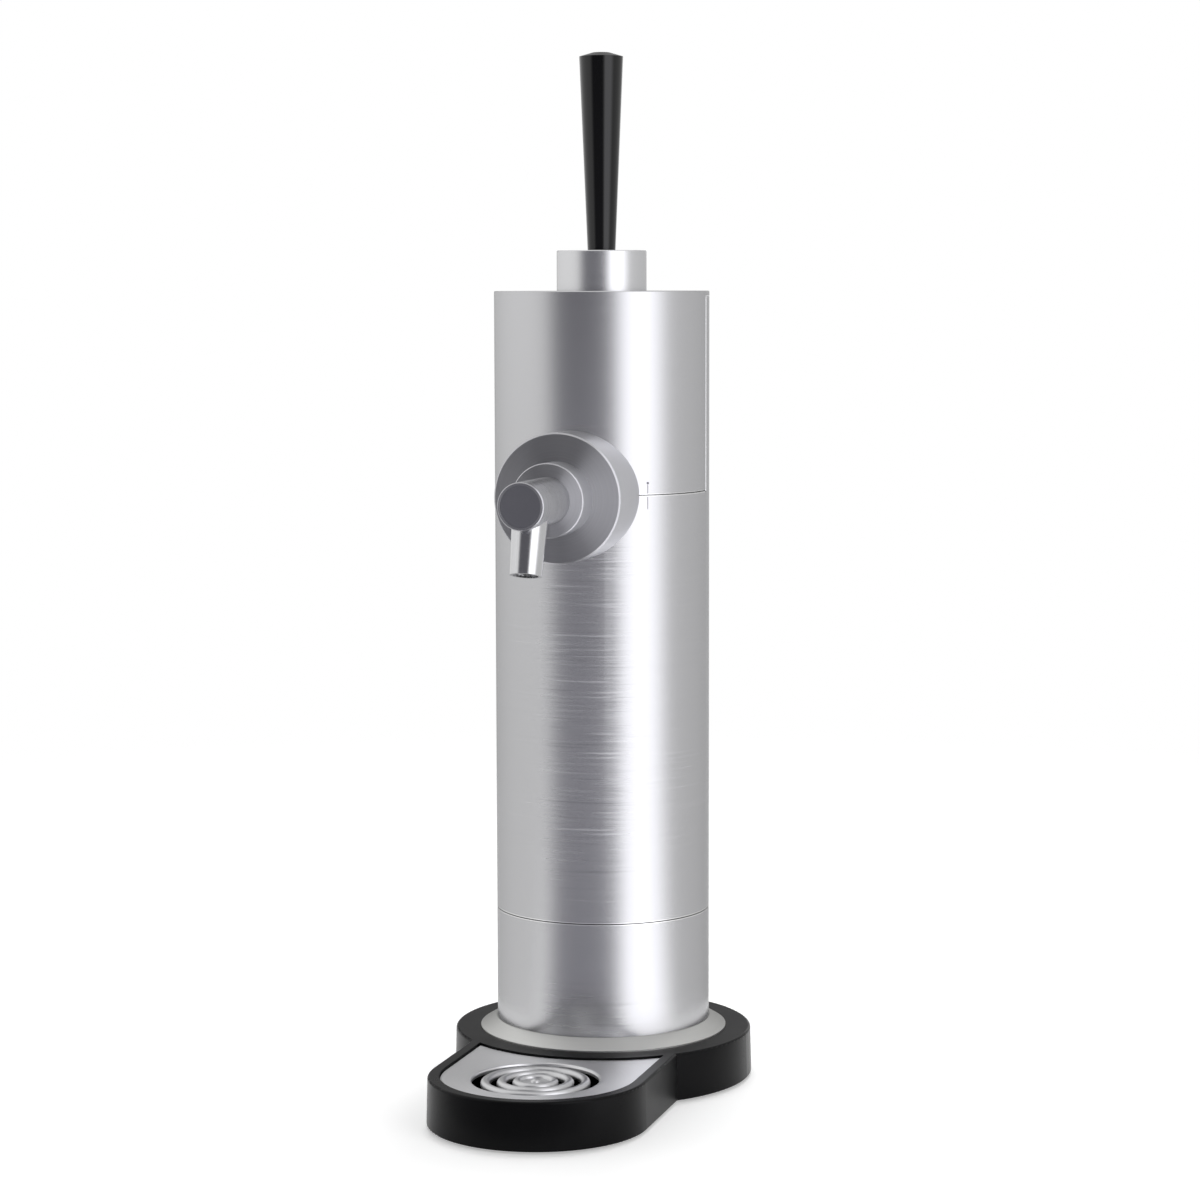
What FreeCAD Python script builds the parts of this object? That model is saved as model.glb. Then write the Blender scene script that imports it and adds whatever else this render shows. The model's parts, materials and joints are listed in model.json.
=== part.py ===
import FreeCAD, Part
import math
import os
import Sketcher

# Countertop dispenser for canned beer. Millimetres, +Z up, the tap and the drip tray point along -Y.
# The tower axis stands behind the origin, which is the centre of the footprint on the table.

SIZES = {
    # Tower: a lower sleeve, a tall sleeve whose rear half runs up to the cap, and a front shell
    "tower_radius": 44.0,
    "sleeve_wall": 1.8,
    "lower_seam_height": 70.9,
    "lower_seam_gap": 0.4,
    "tap_height": 243.8,
    "head_seam_gap": 0.3,
    "side_seam_gap": 0.3,
    "seam_bevel": 0.35,
    "head_height": 81.0,
    "cap_thickness": 2.0,
    "cap_edge": 0.3,
    "cap_gap": 0.2,
    # Base housing: round under the tower, with a straight-sided lobe that carries the drip tray
    "base_radius": 61.8,
    "lobe_half_width": 43.9,
    "lobe_centre": 90.0,
    "base_top": 20.2,
    "base_draft": 0.5,
    "base_top_round": 1.0,
    "base_foot_round": 0.8,
    "base_wall": 2.5,
    "base_roof": 2.6,
    "foot_height": 1.0,
    "foot_radius": 6.0,
    "foot_recess": 0.7,
    "rear_foot_inset": 13.7,
    "rear_foot_angle": 17.0,
    "front_foot_inset": 12.3,
    "front_foot_angle": 35.0,
    "cover_thickness": 2.0,
    "cover_lip": 1.2,
    "cover_screw_inset": 6.8,
    "cover_screw_front_angle": 41.7,
    "cover_screw_rear_angle": 49.4,
    "boss_radius": 3.2,
    # Cone ring between the base and the tower
    "ring_width": 7.0,
    "ring_lip": 0.5,
    "ring_rise": 4.4,
    "ring_rim": 0.4,
    "ring_rebate": 2.0,
    "ring_seat_width": 9.0,
    "tower_foot_wall": 5.65,
    "tower_foot_height": 11.4,
    "tower_screw_inset": 2.85,
    "tower_screw_bite": 7.4,
    # Drip tray opening, pan and plate, all round the same front centre
    "tray_margin": 5.1,
    "tray_behind_ring": 9.4,
    "tray_frame_wall": 2.2,
    "tray_ledge": 1.8,
    "tray_ledge_height": 1.5,
    "plate_recess": 0.8,
    "pan_rim": 1.5,
    "pan_floor_gap": 1.5,
    "pan_wall": 1.5,
    "plate_thickness": 2.0,
    "plate_edge": 0.4,
    "tray_side_gap": 0.4,
    "plate_side_gap": 0.4,
    # Slot rings in the drip plate
    "slots_forward": 4.0,
    "slot_width": 3.4,
    "slot_edge": 0.9,
    "outer_bar_radius": 19.7,
    "inner_bar_radius": 13.3,
    "bar_half_width": 1.85,
    "bar_height": 3.0,
    "boss_bar_radius": 7.3,
    "boss_bar_half_width": 1.7,
    "boss_dish": 1.2,
    "nub_radius": 2.2,
    "spine_width": 4.0,
    "spine_drop": 1.3,
    # Deck across the seam, and the well that holds one can of 66 mm
    "deck_thickness": 3.0,
    "deck_skirt_wall": 2.1,
    "deck_skirt_below": 5.1,
    "deck_skirt_above": 15.0,
    "well_clearance": 8.0,
    "well_wall": 1.8,
    "well_floor": 2.0,
    "well_drop": 14.3,
    "well_flange": 2.5,
    "well_flange_gap": 0.1,
    "pad_thickness": 3.0,
    # Battery bay for four AA cells, loaded through a door in the underside
    "bay_width": 31.0,
    "bay_wall": 2.5,
    "bay_clearance": 1.5,
    "bay_flange": 6.0,
    "bay_flange_thickness": 2.4,
    "cell_radius": 7.25,
    "cell_spacing": 15.2,
    "cell_length": 49.5,
    "cell_nub": 1.0,
    "cell_nub_radius": 2.7,
    "contact_sheet": 0.6,
    "contact_radius": 5.0,
    "cell_spring_length": 3.6,
    "cell_spring_radius": 3.4,
    "cell_spring_turns": 2.0,
    "spring_wire": 0.8,
    "door_half_width": 19.8,
    "door_thickness": 1.8,
    "door_plug_height": 7.2,
    "door_plug_gap": 0.3,
    # Tap: flange, hub, nozzle and threaded shank on one axis, and the spout that leans forward
    "flange_radius": 25.95,
    "flange_reach": 19.2,
    "flange_wall": 2.4,
    "flange_boss_radius": 11.0,
    "flange_edge": 0.6,
    "hub_radius": 14.7,
    "hub_length": 12.7,
    "nozzle_radius": 9.32,
    "nozzle_length": 33.9,
    "nozzle_edge": 0.4,
    "nozzle_bore": 4.0,
    "nozzle_rim": 1.32,
    "insert_thickness": 2.2,
    "foam_disc_thickness": 1.6,
    "shank_radius": 8.0,
    "shank_spigot_radius": 6.4,
    "shank_spigot_length": 8.0,
    "shank_inset": 5.6,
    "nut_thickness": 3.6,
    "nut_circumradius": 12.6,
    "nut_notch_gap": 0.9,
    "elbow_radius": 5.0,
    "elbow_reach": 5.8,
    "elbow_rise": 15.0,
    "spout_lean": 15.0,
    "spout_mouth_back": 6.5,
    "spout_mouth_drop": 26.8,
    "spout_mouth_radius": 6.15,
    "spout_top_radius": 7.0,
    "spout_length": 22.5,
    "spout_bore": 4.9,
    "liner_bore": 3.4,
    "liner_recess": 1.0,
    # Head frame: chassis disc, spacers, upper plate and the posts under the cap
    "chassis_gap": 1.7,
    "chassis_rise": 6.2,
    "chassis_thickness": 3.0,
    "upper_plate_gap": 4.2,
    "spacer_height": 30.5,
    "upper_plate_thickness": 2.5,
    "post_inset": 13.5,
    "post_radius": 3.5,
    "cap_skirt_wall": 1.9,
    "cap_skirt_height": 4.8,
    "seal_width": 4.5,
    "seal_inset": 5.7,
    "seal_height": 7.5,
    "seal_gap": 0.5,
    "riser_radius": 3.0,
    "riser_bore": 1.6,
    "riser_dip": 6.0,
    "riser_barb": 3.0,
    # Pump and electronics
    "pump_inlet_run": 9.0,
    "pump_radius": 13.5,
    "pump_height": 24.0,
    "motor_radius": 12.0,
    "motor_length": 27.0,
    "clamp_wall": 1.8,
    "clamp_height": 4.0,
    "clamp_drop": 2.0,
    "inlet_rise": 11.0,
    "outlet_rise": 15.0,
    "outlet_inset": 5.5,
    "barb_radius": 1.9,
    "barb_length": 3.0,
    "hose_radius": 2.8,
    "hose_bore": 2.0,
    "hose_bend": 6.0,
    "board_x": 20.0,
    "board_thickness": 1.6,
    "board_half_width": 18.0,
    "board_height": 28.0,
    # Handle, its pivot and the two-way switch that it works
    "collar_radius": 18.34,
    "collar_height": 16.4,
    "collar_wall": 2.0,
    "collar_edge": 0.35,
    "collar_base": 2.2,
    "collar_mouth_gap": 2.725,
    "collar_screw_inset": 2.14,
    "handle_length": 78.2,
    "handle_crown_rise": 1.6,
    "handle_rim_radius": 8.9,
    "handle_foot_radius": 5.675,
    "handle_tail": 4.0,
    "handle_crown_radius": 3.5,
    "pivot_rise": 7.2,
    "pivot_pin_radius": 2.0,
    "pivot_ear_inside": 8.0,
    "pivot_ear_wall": 3.0,
    "pivot_ear_width": 12.0,
    "pivot_ear_rise": 4.5,
    "pivot_base_radius": 14.0,
    "pivot_base_thickness": 2.0,
    "pivot_screw_inset": 3.5,
    "stem_hub_radius": 5.0,
    "stem_neck_radius": 3.4,
    "stem_hub_half": 5.0,
    "stem_neck_end": 7.6,
    "stem_rod_radius": 2.0,
    "stem_stud_radius": 3.0,
    "stem_stud_length": 13.0,
    "stem_arm": 30.0,
    "stem_ball_radius": 2.5,
    "stem_hole": 6.5,
    "centring_coil_radius": 4.3,
    "centring_coil_turns": 1.5,
    "centring_coil_pitch": 1.22,
    "centring_leg": 5.0,
    "switch_half_x": 7.0,
    "switch_half_y": 13.0,
    "switch_rail": 1.6,
    "slider_half_x": 5.0,
    "slider_half_y": 4.8,
    "slider_gap": 0.2,
    "slider_floor": 0.8,
    "slider_height": 5.6,
    "slider_slot_gap": 0.15,
    # Head hinge at the top of the rear half sleeve
    "hinge_barrel_radius": 2.4,
    "hinge_pin_radius": 1.1,
    "hinge_gap": 0.2,
    "hinge_axis_drop": 3.8,
    "hinge_half_length": 12.0,
    "hinge_middle_half": 4.0,
    "hinge_leaf_height": 20.0,
    "hinge_leaf_thickness": 1.4,
    "hinge_leaf_reach": 10.0,
    "rivet_radius": 1.6,
    "rivet_head": 0.7,
    # Catch magnets, the strikes below them, and the power contacts across the seam
    "magnet_inset": 5.6,
    "magnet_thickness": 2.6,
    "magnet_width": 7.0,
    "magnet_gap": 0.6,
    "contact_spacing": 9.0,
    "contact_gap": 2.2,
    "contact_block_side": 3.5,
    "contact_block_depth": 4.0,
    "contact_pad": 0.4,
    "contact_pin_radius": 0.9,
    "lead_radius": 0.9,
    "lead_bend": 5.0,
    "lead_entry_drop": 12.0,
    # Fasteners and fits
    "screw_radius": 1.5,
    "screw_head_radius": 2.75,
    "screw_head_height": 1.7,
    "small_screw_radius": 1.0,
    "small_screw_head_radius": 1.8,
    "small_screw_head_height": 1.2,
    "slip": 0.1,
    "thread_fit": 0.05,
    "pin_fit": 0.05,
    "body_gap": 0.3,
    "through": 1.0,
}

doc = FreeCAD.newDocument("can_beer_dispenser")
sheet = doc.addObject("Spreadsheet::Sheet", "Sizes")
for row, (alias, value) in enumerate(SIZES.items(), start=1):
    sheet.set(f"A{row}", alias.replace("_", " "))
    sheet.set(f"B{row}", str(value))
    sheet.setAlias(f"B{row}", alias)
doc.recompute()


class Size:
    """A length as an expression of the sheet, beside its present value."""

    def __init__(self, text, value):
        self.text = text
        self.value = float(value)

    def __add__(self, other):
        other = as_size(other)
        return Size(f"({self.text} + {other.text})", self.value + other.value)

    def __sub__(self, other):
        other = as_size(other)
        return Size(f"({self.text} - {other.text})", self.value - other.value)

    def __mul__(self, other):
        other = as_size(other)
        return Size(f"({self.text} * {other.text})", self.value * other.value)

    def __truediv__(self, other):
        other = as_size(other)
        return Size(f"({self.text} / {other.text})", self.value / other.value)

    def __neg__(self):
        return Size(f"(0 - {self.text})", -self.value)

    def __radd__(self, other):
        return as_size(other) + self

    def __rsub__(self, other):
        return as_size(other) - self

    def __rmul__(self, other):
        return as_size(other) * self


def as_size(number):
    """A plain number, such as 0 or 2, as a Size; a Size stays as it is."""
    if isinstance(number, Size):
        return number
    return Size(repr(number), number)


def chord(radius, offset):
    """Distance from a circle's centre line to the circle, at a sideways offset."""
    square = radius * radius - offset * offset
    return Size(f"sqrt({square.text})", math.sqrt(square.value))


class Driving:
    """The sheet's sizes by name: d.tower_radius and so on."""

    def __getattr__(self, alias):
        return Size(f"Sizes.{alias}", SIZES[alias])


d = Driving()
Vector = FreeCAD.Vector
ALONG = {
    "up": FreeCAD.Rotation(),
    "down": FreeCAD.Rotation(Vector(1, 0, 0), 180),
    "right": FreeCAD.Rotation(Vector(0, 1, 0), 90),
    "left": FreeCAD.Rotation(Vector(0, 1, 0), -90),
    "front": FreeCAD.Rotation(Vector(1, 0, 0), 90),
    "back": FreeCAD.Rotation(Vector(1, 0, 0), -90),
}

# Places that several pieces share
axis_y = (d.lobe_centre + d.lobe_half_width - d.base_radius) / 2
sleeve_bore = d.tower_radius - d.sleeve_wall
sleeve_fit = sleeve_bore - d.thread_fit
base_underside = d.foot_height
cover_top = base_underside + d.cover_thickness
cap_top_height = d.tap_height + d.head_height
roof_underside = d.base_top - d.base_roof
cap_underside = cap_top_height - d.cap_thickness
rear_top = cap_underside - d.cap_gap
tower_split = d.tap_height - d.head_seam_gap / 2
head_split = d.tap_height + d.head_seam_gap / 2
half_side_gap = d.side_seam_gap / 2
seam_bevel_depth = d.head_seam_gap / 2 + d.seam_bevel
ring_foot_radius = d.tower_radius + d.ring_width
ring_bore = d.tower_radius - d.ring_seat_width
ring_top = d.base_top + d.ring_rise
ring_seat = ring_top - d.ring_rebate
tower_foot_bore = sleeve_fit - d.tower_foot_wall
tray_half_width = d.lobe_half_width - d.tray_margin
tray_back_radius = ring_foot_radius + d.tray_behind_ring
plate_top = d.base_top - d.plate_recess
pan_top = plate_top - d.plate_thickness
tray_ledge_top = pan_top - d.pan_rim
bay_outer = d.bay_width / 2 + d.bay_wall
door_contact = base_underside + d.door_plug_height + d.contact_sheet
top_contact = door_contact + d.cell_spring_length + d.cell_length + d.cell_nub + d.slip
bay_ceiling = top_contact + d.contact_sheet
deck_underside = bay_ceiling + d.bay_wall - d.slip
deck_top = deck_underside + d.deck_thickness
well_radius = sleeve_bore - d.well_clearance
well_outer = well_radius + d.well_wall
well_top = d.tap_height - d.well_drop
flange_face = d.tower_radius + d.flange_reach
hub_face = flange_face + d.hub_length
nozzle_face = hub_face + d.nozzle_length
nozzle_cup_radius = d.nozzle_radius - d.nozzle_rim
shank_end = sleeve_bore - d.shank_inset
chassis_radius = sleeve_bore - d.chassis_gap
chassis_level = d.tap_height + d.chassis_rise
chassis_top = chassis_level + d.chassis_thickness
can_top = chassis_level - d.seal_height - d.seal_gap
upper_plate_radius = sleeve_bore - d.upper_plate_gap
upper_plate_level = chassis_top + d.spacer_height
upper_plate_top = upper_plate_level + d.upper_plate_thickness
post_offset = upper_plate_radius - d.post_inset
pump_x = d.pump_inlet_run + d.pump_radius
outlet_x = pump_x - d.outlet_inset
collar_top = cap_top_height + d.collar_height
handle_rim_height = collar_top + d.handle_length
handle_top = handle_rim_height + d.handle_crown_rise
pivot_height = cap_top_height + d.pivot_rise
contact_y = well_outer + d.contact_gap
hinge_y = d.tower_radius + d.hinge_barrel_radius + d.hinge_gap
hinge_z = cap_top_height - d.hinge_axis_drop

own_place = {}
subparts = {}


def bind(piece, **sizes):
    """Tie the piece's properties to sheet expressions."""
    for name, size in sizes.items():
        piece.setExpression(name, as_size(size).text)


def place(piece, x, y, z, along="up"):
    """Put the piece at a point of the tower's frame, turned to point along a named direction."""
    piece.Placement = FreeCAD.Placement(Vector(0, 0, 0), ALONG[along])
    own_place[piece.Name] = (as_size(x), as_size(y), as_size(z))
    for axis, size in zip("xyz", own_place[piece.Name]):
        piece.setExpression(f"Placement.Base.{axis}", size.text)


def cylinder(radius, length, x=0, y=0, z=0, along="up"):
    piece = doc.addObject("Part::Cylinder", "round")
    bind(piece, Radius=radius, Height=length)
    place(piece, x, y, z, along)
    return piece


def sphere(radius, x=0, y=0, z=0):
    piece = doc.addObject("Part::Sphere", "ball")
    bind(piece, Radius=radius)
    place(piece, x, y, z)
    return piece


def torus(ring_radius, tube_radius, x=0, y=0, z=0):
    piece = doc.addObject("Part::Torus", "hoop")
    bind(piece, Radius1=ring_radius, Radius2=tube_radius)
    place(piece, x, y, z)
    return piece


def box(x_low, x_high, y_low, y_high, z_low, z_high):
    piece = doc.addObject("Part::Box", "block")
    x_low, y_low, z_low = as_size(x_low), as_size(y_low), as_size(z_low)
    bind(piece, Length=x_high - x_low, Width=y_high - y_low, Height=z_high - z_low)
    place(piece, x_low, y_low, z_low)
    return piece


def box_across(half_x, y_low, y_high, z_low, z_high):
    """Block that is centred on the middle plane."""
    return box(-as_size(half_x), as_size(half_x), y_low, y_high, z_low, z_high)


def fuse(*pieces):
    joined = doc.addObject("Part::MultiFuse", "joined")
    joined.Shapes = list(pieces)
    joined.Refine = True
    return joined


def group(pieces):
    """Several equal solids that share one node."""
    together = doc.addObject("Part::Compound", "set")
    together.Links = list(pieces)
    return together


def cut(base, *tools):
    result = base
    for tool in tools:
        step = doc.addObject("Part::Cut", "cut")
        step.Base = result
        step.Tool = tool
        result = step
    return result


def common(first, second):
    shared = doc.addObject("Part::MultiCommon", "shared")
    shared.Shapes = [first, second]
    return shared


def drill(radius, bottom, top, places):
    """Upright cutters that pass right through between two levels, one at each place."""
    length = top - bottom + 2 * d.through
    return [cylinder(radius, length, x, y, bottom - d.through) for x, y in places]


def bored(radius, length, start, places):
    """Upright cutters of one length that start at a level, one at each place."""
    return [cylinder(radius, length, x, y, start) for x, y in places]


def tube(outer, inner, bottom, top, x=0, y=0):
    """Upright tube between two levels."""
    wall = cylinder(outer, top - bottom, x, y, bottom)
    return cut(wall, *drill(inner, bottom, top, [(x, y)]))


def plane_of(body, role):
    return [plane for plane in body.Origin.OriginFeatures if plane.Role == role][0]


def revolved(profile):
    """Body turned about the local Z axis from a closed outline of (radius, height) corners."""
    body = doc.addObject("PartDesign::Body", "turned")
    sketch = body.newObject("Sketcher::SketchObject", "profile")
    sketch.AttachmentSupport = [(plane_of(body, "XZ_Plane"), "")]
    sketch.MapMode = "FlatFace"
    corners = [(as_size(radius), as_size(height)) for radius, height in profile]
    points = [Vector(radius.value, height.value, 0) for radius, height in corners]
    for start, end in zip(points, points[1:] + points[:1]):
        sketch.addGeometry(Part.LineSegment(start, end), False)
    for index in range(len(points)):
        following = (index + 1) % len(points)
        sketch.addConstraint(Sketcher.Constraint("Coincident", index, 2, following, 1))
    for index, (radius, height) in enumerate(corners):
        across = Sketcher.Constraint("DistanceX", -1, 1, index, 1, radius.value)
        upward = Sketcher.Constraint("DistanceY", -1, 1, index, 1, height.value)
        sketch.setExpression(f"Constraints[{sketch.addConstraint(across)}]", radius.text)
        sketch.setExpression(f"Constraints[{sketch.addConstraint(upward)}]", height.text)
    turned = body.newObject("PartDesign::Revolution", "revolution")
    turned.Profile = (sketch, [])
    turned.ReferenceAxis = (sketch, ["V_Axis"])
    turned.Angle = 360
    return body


def tower_outline(body, tower_arc, half_width, centre, level, round_the_back):
    """Sketch of a half circle at the front, two straight sides, and an arc about the tower axis.

    The arc runs round the back of the tower for the base's outline, and cuts across in
    front of the tower for the tray's.
    """
    sketch = body.newObject("Sketcher::SketchObject", "outline")
    sketch.AttachmentSupport = [(plane_of(body, "XY_Plane"), "")]
    sketch.MapMode = "FlatFace"
    sketch.setExpression("AttachmentOffset.Base.z", level.text)
    side_end = -chord(tower_arc, half_width).value
    right = math.atan2(side_end, half_width.value)
    left = math.atan2(side_end, -half_width.value)
    front = Vector(0, -centre.value, 0)
    up = Vector(0, 0, 1)
    front_round = Part.Circle(front, up, half_width.value)
    sketch.addGeometry(Part.ArcOfCircle(front_round, math.pi, 2 * math.pi), False)
    sketch.addGeometry(Part.LineSegment(
        Vector(half_width.value, -centre.value, 0), Vector(half_width.value, side_end, 0)), False)
    round_arc = Part.Circle(Vector(0, 0, 0), up, tower_arc.value)
    if round_the_back:
        sketch.addGeometry(Part.ArcOfCircle(round_arc, right, left + 2 * math.pi), False)
    else:
        sketch.addGeometry(Part.ArcOfCircle(round_arc, left, right), False)
    sketch.addGeometry(Part.LineSegment(
        Vector(-half_width.value, side_end, 0), Vector(-half_width.value, -centre.value, 0)), False)
    right_end, left_end = (1, 2) if round_the_back else (2, 1)
    for constraint in (
        Sketcher.Constraint("PointOnObject", 0, 3, -2),
        Sketcher.Constraint("Coincident", 2, 3, -1, 1),
        Sketcher.Constraint("Coincident", 0, 2, 1, 1),
        Sketcher.Constraint("Coincident", 1, 2, 2, right_end),
        Sketcher.Constraint("Coincident", 2, left_end, 3, 1),
        Sketcher.Constraint("Coincident", 3, 2, 0, 1),
        Sketcher.Constraint("Vertical", 1),
        Sketcher.Constraint("Vertical", 3),
        Sketcher.Constraint("Horizontal", 0, 3, 0, 1),
        Sketcher.Constraint("Horizontal", 0, 3, 0, 2),
    ):
        sketch.addConstraint(constraint)
    for constraint, size in (
        (Sketcher.Constraint("DistanceY", 0, 3, -1, 1, centre.value), centre),
        (Sketcher.Constraint("Radius", 0, half_width.value), half_width),
        (Sketcher.Constraint("Radius", 2, tower_arc.value), tower_arc),
    ):
        sketch.setExpression(f"Constraints[{sketch.addConstraint(constraint)}]", size.text)
    return sketch


def outline_pad(tower_arc, half_width, level, top, round_the_back):
    """Body padded from a tower outline, from one level up to another."""
    body = doc.addObject("PartDesign::Body", "padded")
    sketch = tower_outline(body, tower_arc, half_width, d.lobe_centre, level, round_the_back)
    pad = body.newObject("PartDesign::Pad", "pad")
    pad.Profile = (sketch, [])
    bind(pad, Length=top - level)
    return body


def drafted_lobe(half_width, centre, level, top, draft):
    """Body with a half circle at the front and straight sides back to the tower axis, drawn in upwards."""
    body = doc.addObject("PartDesign::Body", "lobe")
    sketch = body.newObject("Sketcher::SketchObject", "outline")
    sketch.AttachmentSupport = [(plane_of(body, "XY_Plane"), "")]
    sketch.MapMode = "FlatFace"
    sketch.setExpression("AttachmentOffset.Base.z", level.text)
    half = half_width.value
    front = Vector(0, -centre.value, 0)
    front_right, front_left = front + Vector(half, 0, 0), front - Vector(half, 0, 0)
    back_right, back_left = Vector(half, 0, 0), Vector(-half, 0, 0)
    front_round = Part.Circle(front, Vector(0, 0, 1), half)
    sketch.addGeometry(Part.ArcOfCircle(front_round, math.pi, 2 * math.pi), False)
    for start, end in ((front_right, back_right), (back_right, back_left), (back_left, front_left)):
        sketch.addGeometry(Part.LineSegment(start, end), False)
    for constraint in (
        Sketcher.Constraint("Coincident", 0, 2, 1, 1),
        Sketcher.Constraint("Coincident", 1, 2, 2, 1),
        Sketcher.Constraint("Coincident", 2, 2, 3, 1),
        Sketcher.Constraint("Coincident", 3, 2, 0, 1),
        Sketcher.Constraint("PointOnObject", 0, 3, -2),
        Sketcher.Constraint("PointOnObject", 1, 2, -1),
        Sketcher.Constraint("Vertical", 1),
        Sketcher.Constraint("Horizontal", 2),
        Sketcher.Constraint("Vertical", 3),
        Sketcher.Constraint("Horizontal", 0, 3, 0, 1),
        Sketcher.Constraint("Horizontal", 0, 3, 0, 2),
    ):
        sketch.addConstraint(constraint)
    for constraint, size in (
        (Sketcher.Constraint("DistanceY", 0, 3, -1, 1, centre.value), centre),
        (Sketcher.Constraint("Radius", 0, half), half_width),
    ):
        sketch.setExpression(f"Constraints[{sketch.addConstraint(constraint)}]", size.text)
    pad = body.newObject("PartDesign::Pad", "pad")
    pad.Profile = (sketch, [])
    bind(pad, Length=top - level)
    pad.setExpression("TaperAngle", f"-1 * atan({draft.text} / {(top - level).text})")
    return body


def base_pad(inset, level, top):
    return outline_pad(d.base_radius - inset, d.lobe_half_width - inset, level, top, True)


def tray_pad(inset, level, top):
    """Tray-shaped solid, drawn in by the inset all round from the tray opening's own outline."""
    return outline_pad(tray_back_radius + inset, tray_half_width - inset, level, top, False)


def round_edges(body, level, radius):
    """Fillet the edges of the body's last feature that lie at one level."""
    doc.recompute()
    last = body.Tip
    flat = []
    for number, edge in enumerate(last.Shape.Edges, start=1):
        bounds = edge.BoundBox
        if abs(bounds.ZMin - level.value) < 1e-4 and abs(bounds.ZMax - level.value) < 1e-4:
            flat.append(f"Edge{number}")
    fillet = body.newObject("PartDesign::Fillet", "rounding")
    fillet.Base = (last, flat)
    bind(fillet, Radius=radius)
    return body


def swept(path, radius, bore=None):
    """Round bar, or tube with a bore, along straight runs, arcs and coils that meet tangentially."""
    start = path.Edges[0]
    origin = start.valueAt(start.FirstParameter)
    heading = start.tangentAt(start.FirstParameter)

    def skin(size):
        ring = Part.Wire(Part.Edge(Part.Circle(origin, heading, size)))
        return path.makePipeShell([ring], True, True)

    solid = skin(radius)
    if bore is not None:
        solid = solid.cut(skin(bore))
    piece = doc.addObject("Part::Feature", "swept")
    piece.Shape = solid
    return piece


def bent_path(points, bend):
    """Straight runs through the points, joined by tangent arcs of one radius."""
    edges = []
    start = points[0]
    for before, corner, after in zip(points, points[1:], points[2:]):
        arriving = (corner - before).normalize()
        leaving = (after - corner).normalize()
        half_turn = arriving.getAngle(leaving) / 2
        reach = bend * math.tan(half_turn)
        first = corner - arriving * reach
        last = corner + leaving * reach
        inward = (leaving - arriving).normalize()
        middle = corner + inward * (bend / math.cos(half_turn) - bend)
        edges.append(Part.LineSegment(start, first).toShape())
        edges.append(Part.Arc(first, middle, last).toShape())
        start = last
    edges.append(Part.LineSegment(start, points[-1]).toShape())
    return Part.Wire(edges)


def at(x, y, z):
    return Vector(as_size(x).value, as_size(y).value, as_size(z).value)


def keep(name, piece):
    """Name a finished piece and shift it from the tower's frame to the footprint's centre."""
    piece.Label = name
    own = own_place.get(piece.Name, (as_size(0), as_size(0), as_size(0)))
    piece.setExpression("Placement.Base.y", (own[1] + axis_y).text)
    subparts[name] = piece
    return piece


def screw(length, x, y, head_top, along="up", small=False):
    """Pan-head screw whose head bears on the given level and whose shank runs the named way."""
    radius = d.small_screw_radius if small else d.screw_radius
    head_radius = d.small_screw_head_radius if small else d.screw_head_radius
    head_height = d.small_screw_head_height if small else d.screw_head_height
    head_start = head_top - head_height if along == "up" else head_top
    head = cylinder(head_radius, head_height, x, y, head_start)
    shank = cylinder(radius, length, x, y, head_top, along)
    return fuse(head, shank)


def corners(x, y):
    """The four places at plus and minus x and y."""
    return [(sign_x * x, sign_y * y) for sign_x in (-1, 1) for sign_y in (-1, 1)]


def both_sides(size):
    return [-1 * size, 1 * size]


lead_places = [(x, contact_y) for x in both_sides(d.contact_spacing / 2)]


# Base


def pair(radius, angle, centre_y=0):
    """Two places, left and right, on a circle about the middle plane, the angle measured from +X."""
    turn = math.radians(angle.value)
    x = radius * Size(f"cos({angle.text})", math.cos(turn))
    y = centre_y + radius * Size(f"sin({angle.text})", math.sin(turn))
    return [(-1 * x, y), (1 * x, y)]


cover_screw_circle = d.base_radius - d.cover_screw_inset
cover_screw_places = pair(cover_screw_circle, -d.cover_screw_front_angle)
cover_screw_places += pair(cover_screw_circle, d.cover_screw_rear_angle)
foot_places = pair(d.base_radius - d.rear_foot_inset, d.rear_foot_angle)
foot_places += pair(d.lobe_half_width - d.front_foot_inset, -d.front_foot_angle, -d.lobe_centre)
tower_screw_offset = (sleeve_fit - d.tower_screw_inset) * Size("sqrt(0.5)", math.sqrt(0.5))
tower_screw_places = corners(tower_screw_offset, tower_screw_offset)
bay_screw_offset = bay_outer + d.bay_flange / 2
bay_screw_places = [(x, 0) for x in both_sides(bay_screw_offset)]
bay_screw_places += [(0, y) for y in both_sides(bay_screw_offset)]
tower_screw_length = ring_seat - roof_underside + d.tower_screw_bite


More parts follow.
